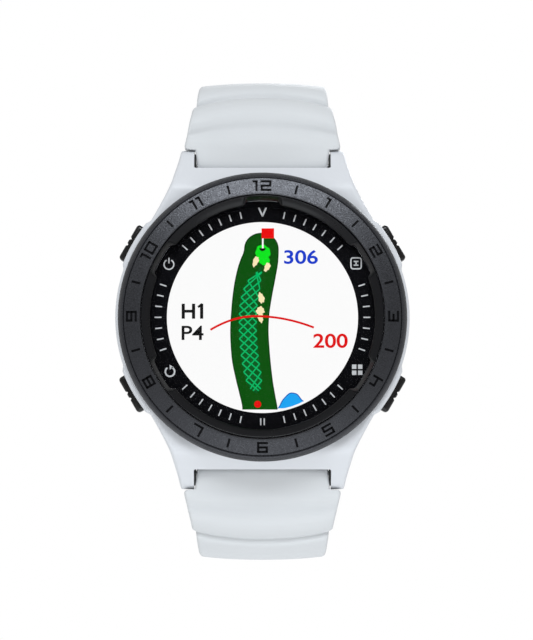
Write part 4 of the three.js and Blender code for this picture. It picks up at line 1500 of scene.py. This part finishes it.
KEPT_FINISHES = {
    "lens_gasket": "seal_rubber",
    "back_gasket": "seal_rubber",
    "backlight": "backlight_white",
    "display_frame": "dark_plastic",
    "main_board": "circuit_board",
    "processor_shield": "steel",
    "gps_antenna": "antenna_ceramic",
    "battery": "battery_foil",
    "vibration_motor": "steel",
    "motor_weight": "steel",
    "upper_spring_bar": "steel",
    "lower_spring_bar": "steel",
    "upper_release_pin": "steel",
    "lower_release_pin": "steel",
}


class WATCH_OT_inside(bpy.types.Operator):
    """Finishes for the inside pieces and the spring bars, whose shapes stay as packed"""

    bl_idname = "watch.inside"
    bl_label = "Inside pieces"

    def execute(self, context):
        finishes = dict(KEPT_FINISHES)
        for side in BUTTONS:
            finishes["button_spring_" + side] = "steel"
            finishes["button_clip_" + side] = "steel"
            finishes["button_seal_" + side] = "seal_rubber"
            finishes["switch_" + side] = "dark_plastic"
        for node, name in finishes.items():
            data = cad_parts[node].data
            data.materials.clear()
            data.materials.append(finish(name))
        return {"FINISHED"}


# ---- Studio --------------------------------------------------------------------------------------


FLOOR_Z, FLOOR_COLOUR = -0.22, (0.86, 0.86, 0.86)
TENT_FRONT, TENT_REST = 0.42, 0.62  # brightness towards the open front and elsewhere
LAMPS = (  # name, place, size and power
    ("top_soft", (0.0, -0.655, 0.450), (0.56, 0.24), 3.8),
    ("low_soft", (0.0, -0.28, -0.17), (0.2, 0.06), 0.08),
    ("under_soft", (0.0, -0.07, -0.19), (0.24, 0.08), 0.095),
    ("back_soft", (0.2, 0.62, 0.34), (0.4, 0.3), 2.2),
)
SENSOR = 36  # width of the camera's sensor, in mm
VIEW_WIDTH = 0.10143  # what the picture spans at the bezel, in metres
BEZEL_FRONT = Vector((0, -0.013, 0))
CAMERA_DROP = 3  # degrees below level


class WATCH_OT_studio(bpy.types.Operator):
    """Pale floor, light tent, soft lights and the camera"""

    bl_idname = "watch.studio"
    bl_label = "Studio"

    def execute(self, context):
        scene = context.scene
        self.add_floor()
        self.add_tent(scene)
        self.add_lamps(scene)
        self.add_camera(scene)
        scene.view_settings.view_transform = "Standard"
        return {"FINISHED"}

    def add_floor(self):
        clear_selection()
        bpy.ops.mesh.primitive_plane_add(size=5, location=(0, 0, FLOOR_Z))
        floor = bpy.context.object
        floor.name = "studio_floor"
        settle(floor)
        material, shader = surface("pale_floor", FLOOR_COLOUR, 0.8, {SPECULAR: 0.1})
        vary_colour(material, shader, FLOOR_COLOUR, 0.01, 3)
        floor.data.materials.append(material)

    def add_tent(self, scene):
        """The tent is open towards the front, so flat glossy faces stay dark; the backdrop is plain white."""
        world = bpy.data.worlds.new("light_tent")
        scene.world = world
        world.use_nodes = True
        nodes, links = world.node_tree.nodes, world.node_tree.links
        tent = nodes["Background"]
        tent.inputs["Color"].default_value = (0.98, 0.99, 1.0, 1)
        way = nodes.new("ShaderNodeTexCoord")
        split = nodes.new("ShaderNodeSeparateXYZ")
        front = nodes.new("ShaderNodeMapRange")
        front.interpolation_type = "SMOOTHSTEP"
        front.inputs["From Min"].default_value = -0.92
        front.inputs["From Max"].default_value = -0.5
        front.inputs["To Min"].default_value = TENT_FRONT * scene.watch.studio_light
        front.inputs["To Max"].default_value = TENT_REST * scene.watch.studio_light
        links.new(way.outputs["Generated"], split.inputs["Vector"])
        links.new(split.outputs["Y"], front.inputs["Value"])
        links.new(front.outputs["Result"], tent.inputs["Strength"])
        backdrop = nodes.new("ShaderNodeBackground")
        backdrop.inputs["Color"].default_value = (1, 1, 1, 1)
        seen = nodes.new("ShaderNodeLightPath")
        mix = nodes.new("ShaderNodeMixShader")
        links.new(seen.outputs["Is Camera Ray"], mix.inputs["Fac"])
        links.new(tent.outputs["Background"], mix.inputs[1])
        links.new(backdrop.outputs["Background"], mix.inputs[2])
        links.new(mix.outputs["Shader"], nodes["World Output"].inputs["Surface"])

    def add_lamps(self, scene):
        for name, place, size, power in LAMPS:
            data = bpy.data.lights.new(name, "AREA")
            data.shape = "RECTANGLE"
            data.size, data.size_y = size
            data.energy = power * scene.watch.studio_light
            data.color = (0.92, 0.96, 1.0)
            lamp = bpy.data.objects.new(name, data)
            scene.collection.objects.link(lamp)
            lamp.location = place
            lamp.visible_camera = False
            lamp.rotation_euler = (-Vector(place)).to_track_quat("-Z", "Y").to_euler()

    def add_camera(self, scene):
        """The camera looks at the bezel's front from a little below."""
        distance, drop = scene.watch.camera_distance, math.radians(CAMERA_DROP)
        data = bpy.data.cameras.new("camera")
        data.sensor_width = SENSOR
        data.lens = SENSOR * distance / VIEW_WIDTH
        data.shift_x, data.shift_y = 0.0063, -0.0058
        data.clip_start = 0.01
        camera = bpy.data.objects.new("camera", data)
        scene.collection.objects.link(camera)
        camera.location = BEZEL_FRONT + distance * Vector((0, -math.cos(drop), -math.sin(drop)))
        camera.rotation_euler = (BEZEL_FRONT - camera.location).to_track_quat("-Z", "Y").to_euler()
        scene.camera = camera


class WATCH_PT_panel(bpy.types.Panel):
    """Lists the steps that build the watch"""

    bl_idname = "WATCH_PT_panel"
    bl_label = "Golf GPS Watch"
    bl_space_type = "VIEW_3D"
    bl_region_type = "UI"
    bl_category = "Watch"

    def draw(self, context):
        for name in WatchSettings.__annotations__:
            self.layout.prop(context.scene.watch, name)
        for step in STEPS:
            self.layout.operator(step.bl_idname)


STEPS = (
    WATCH_OT_studio,
    WATCH_OT_case,
    WATCH_OT_bezel,
    WATCH_OT_flange,
    WATCH_OT_dial,
    WATCH_OT_display,
    WATCH_OT_buttons,
    WATCH_OT_back,
    WATCH_OT_strap,
    WATCH_OT_keepers,
    WATCH_OT_buckle,
    WATCH_OT_inside,
)
CLASSES = (WatchSettings, *STEPS, WATCH_PT_panel)


def register():
    for cls in CLASSES:
        bpy.utils.register_class(cls)
    bpy.types.Scene.watch = PointerProperty(type=WatchSettings)


def unregister():
    del bpy.types.Scene.watch
    for cls in reversed(CLASSES):
        bpy.utils.unregister_class(cls)


def main():
    register()
    for name in ("Cube", "Light", "Camera"):
        if name in bpy.data.objects:
            bpy.data.objects.remove(bpy.data.objects[name])
    for step in STEPS:
        group, name = step.bl_idname.split(".")
        getattr(getattr(bpy.ops, group), name)()


if __name__ == "__main__":
    main()
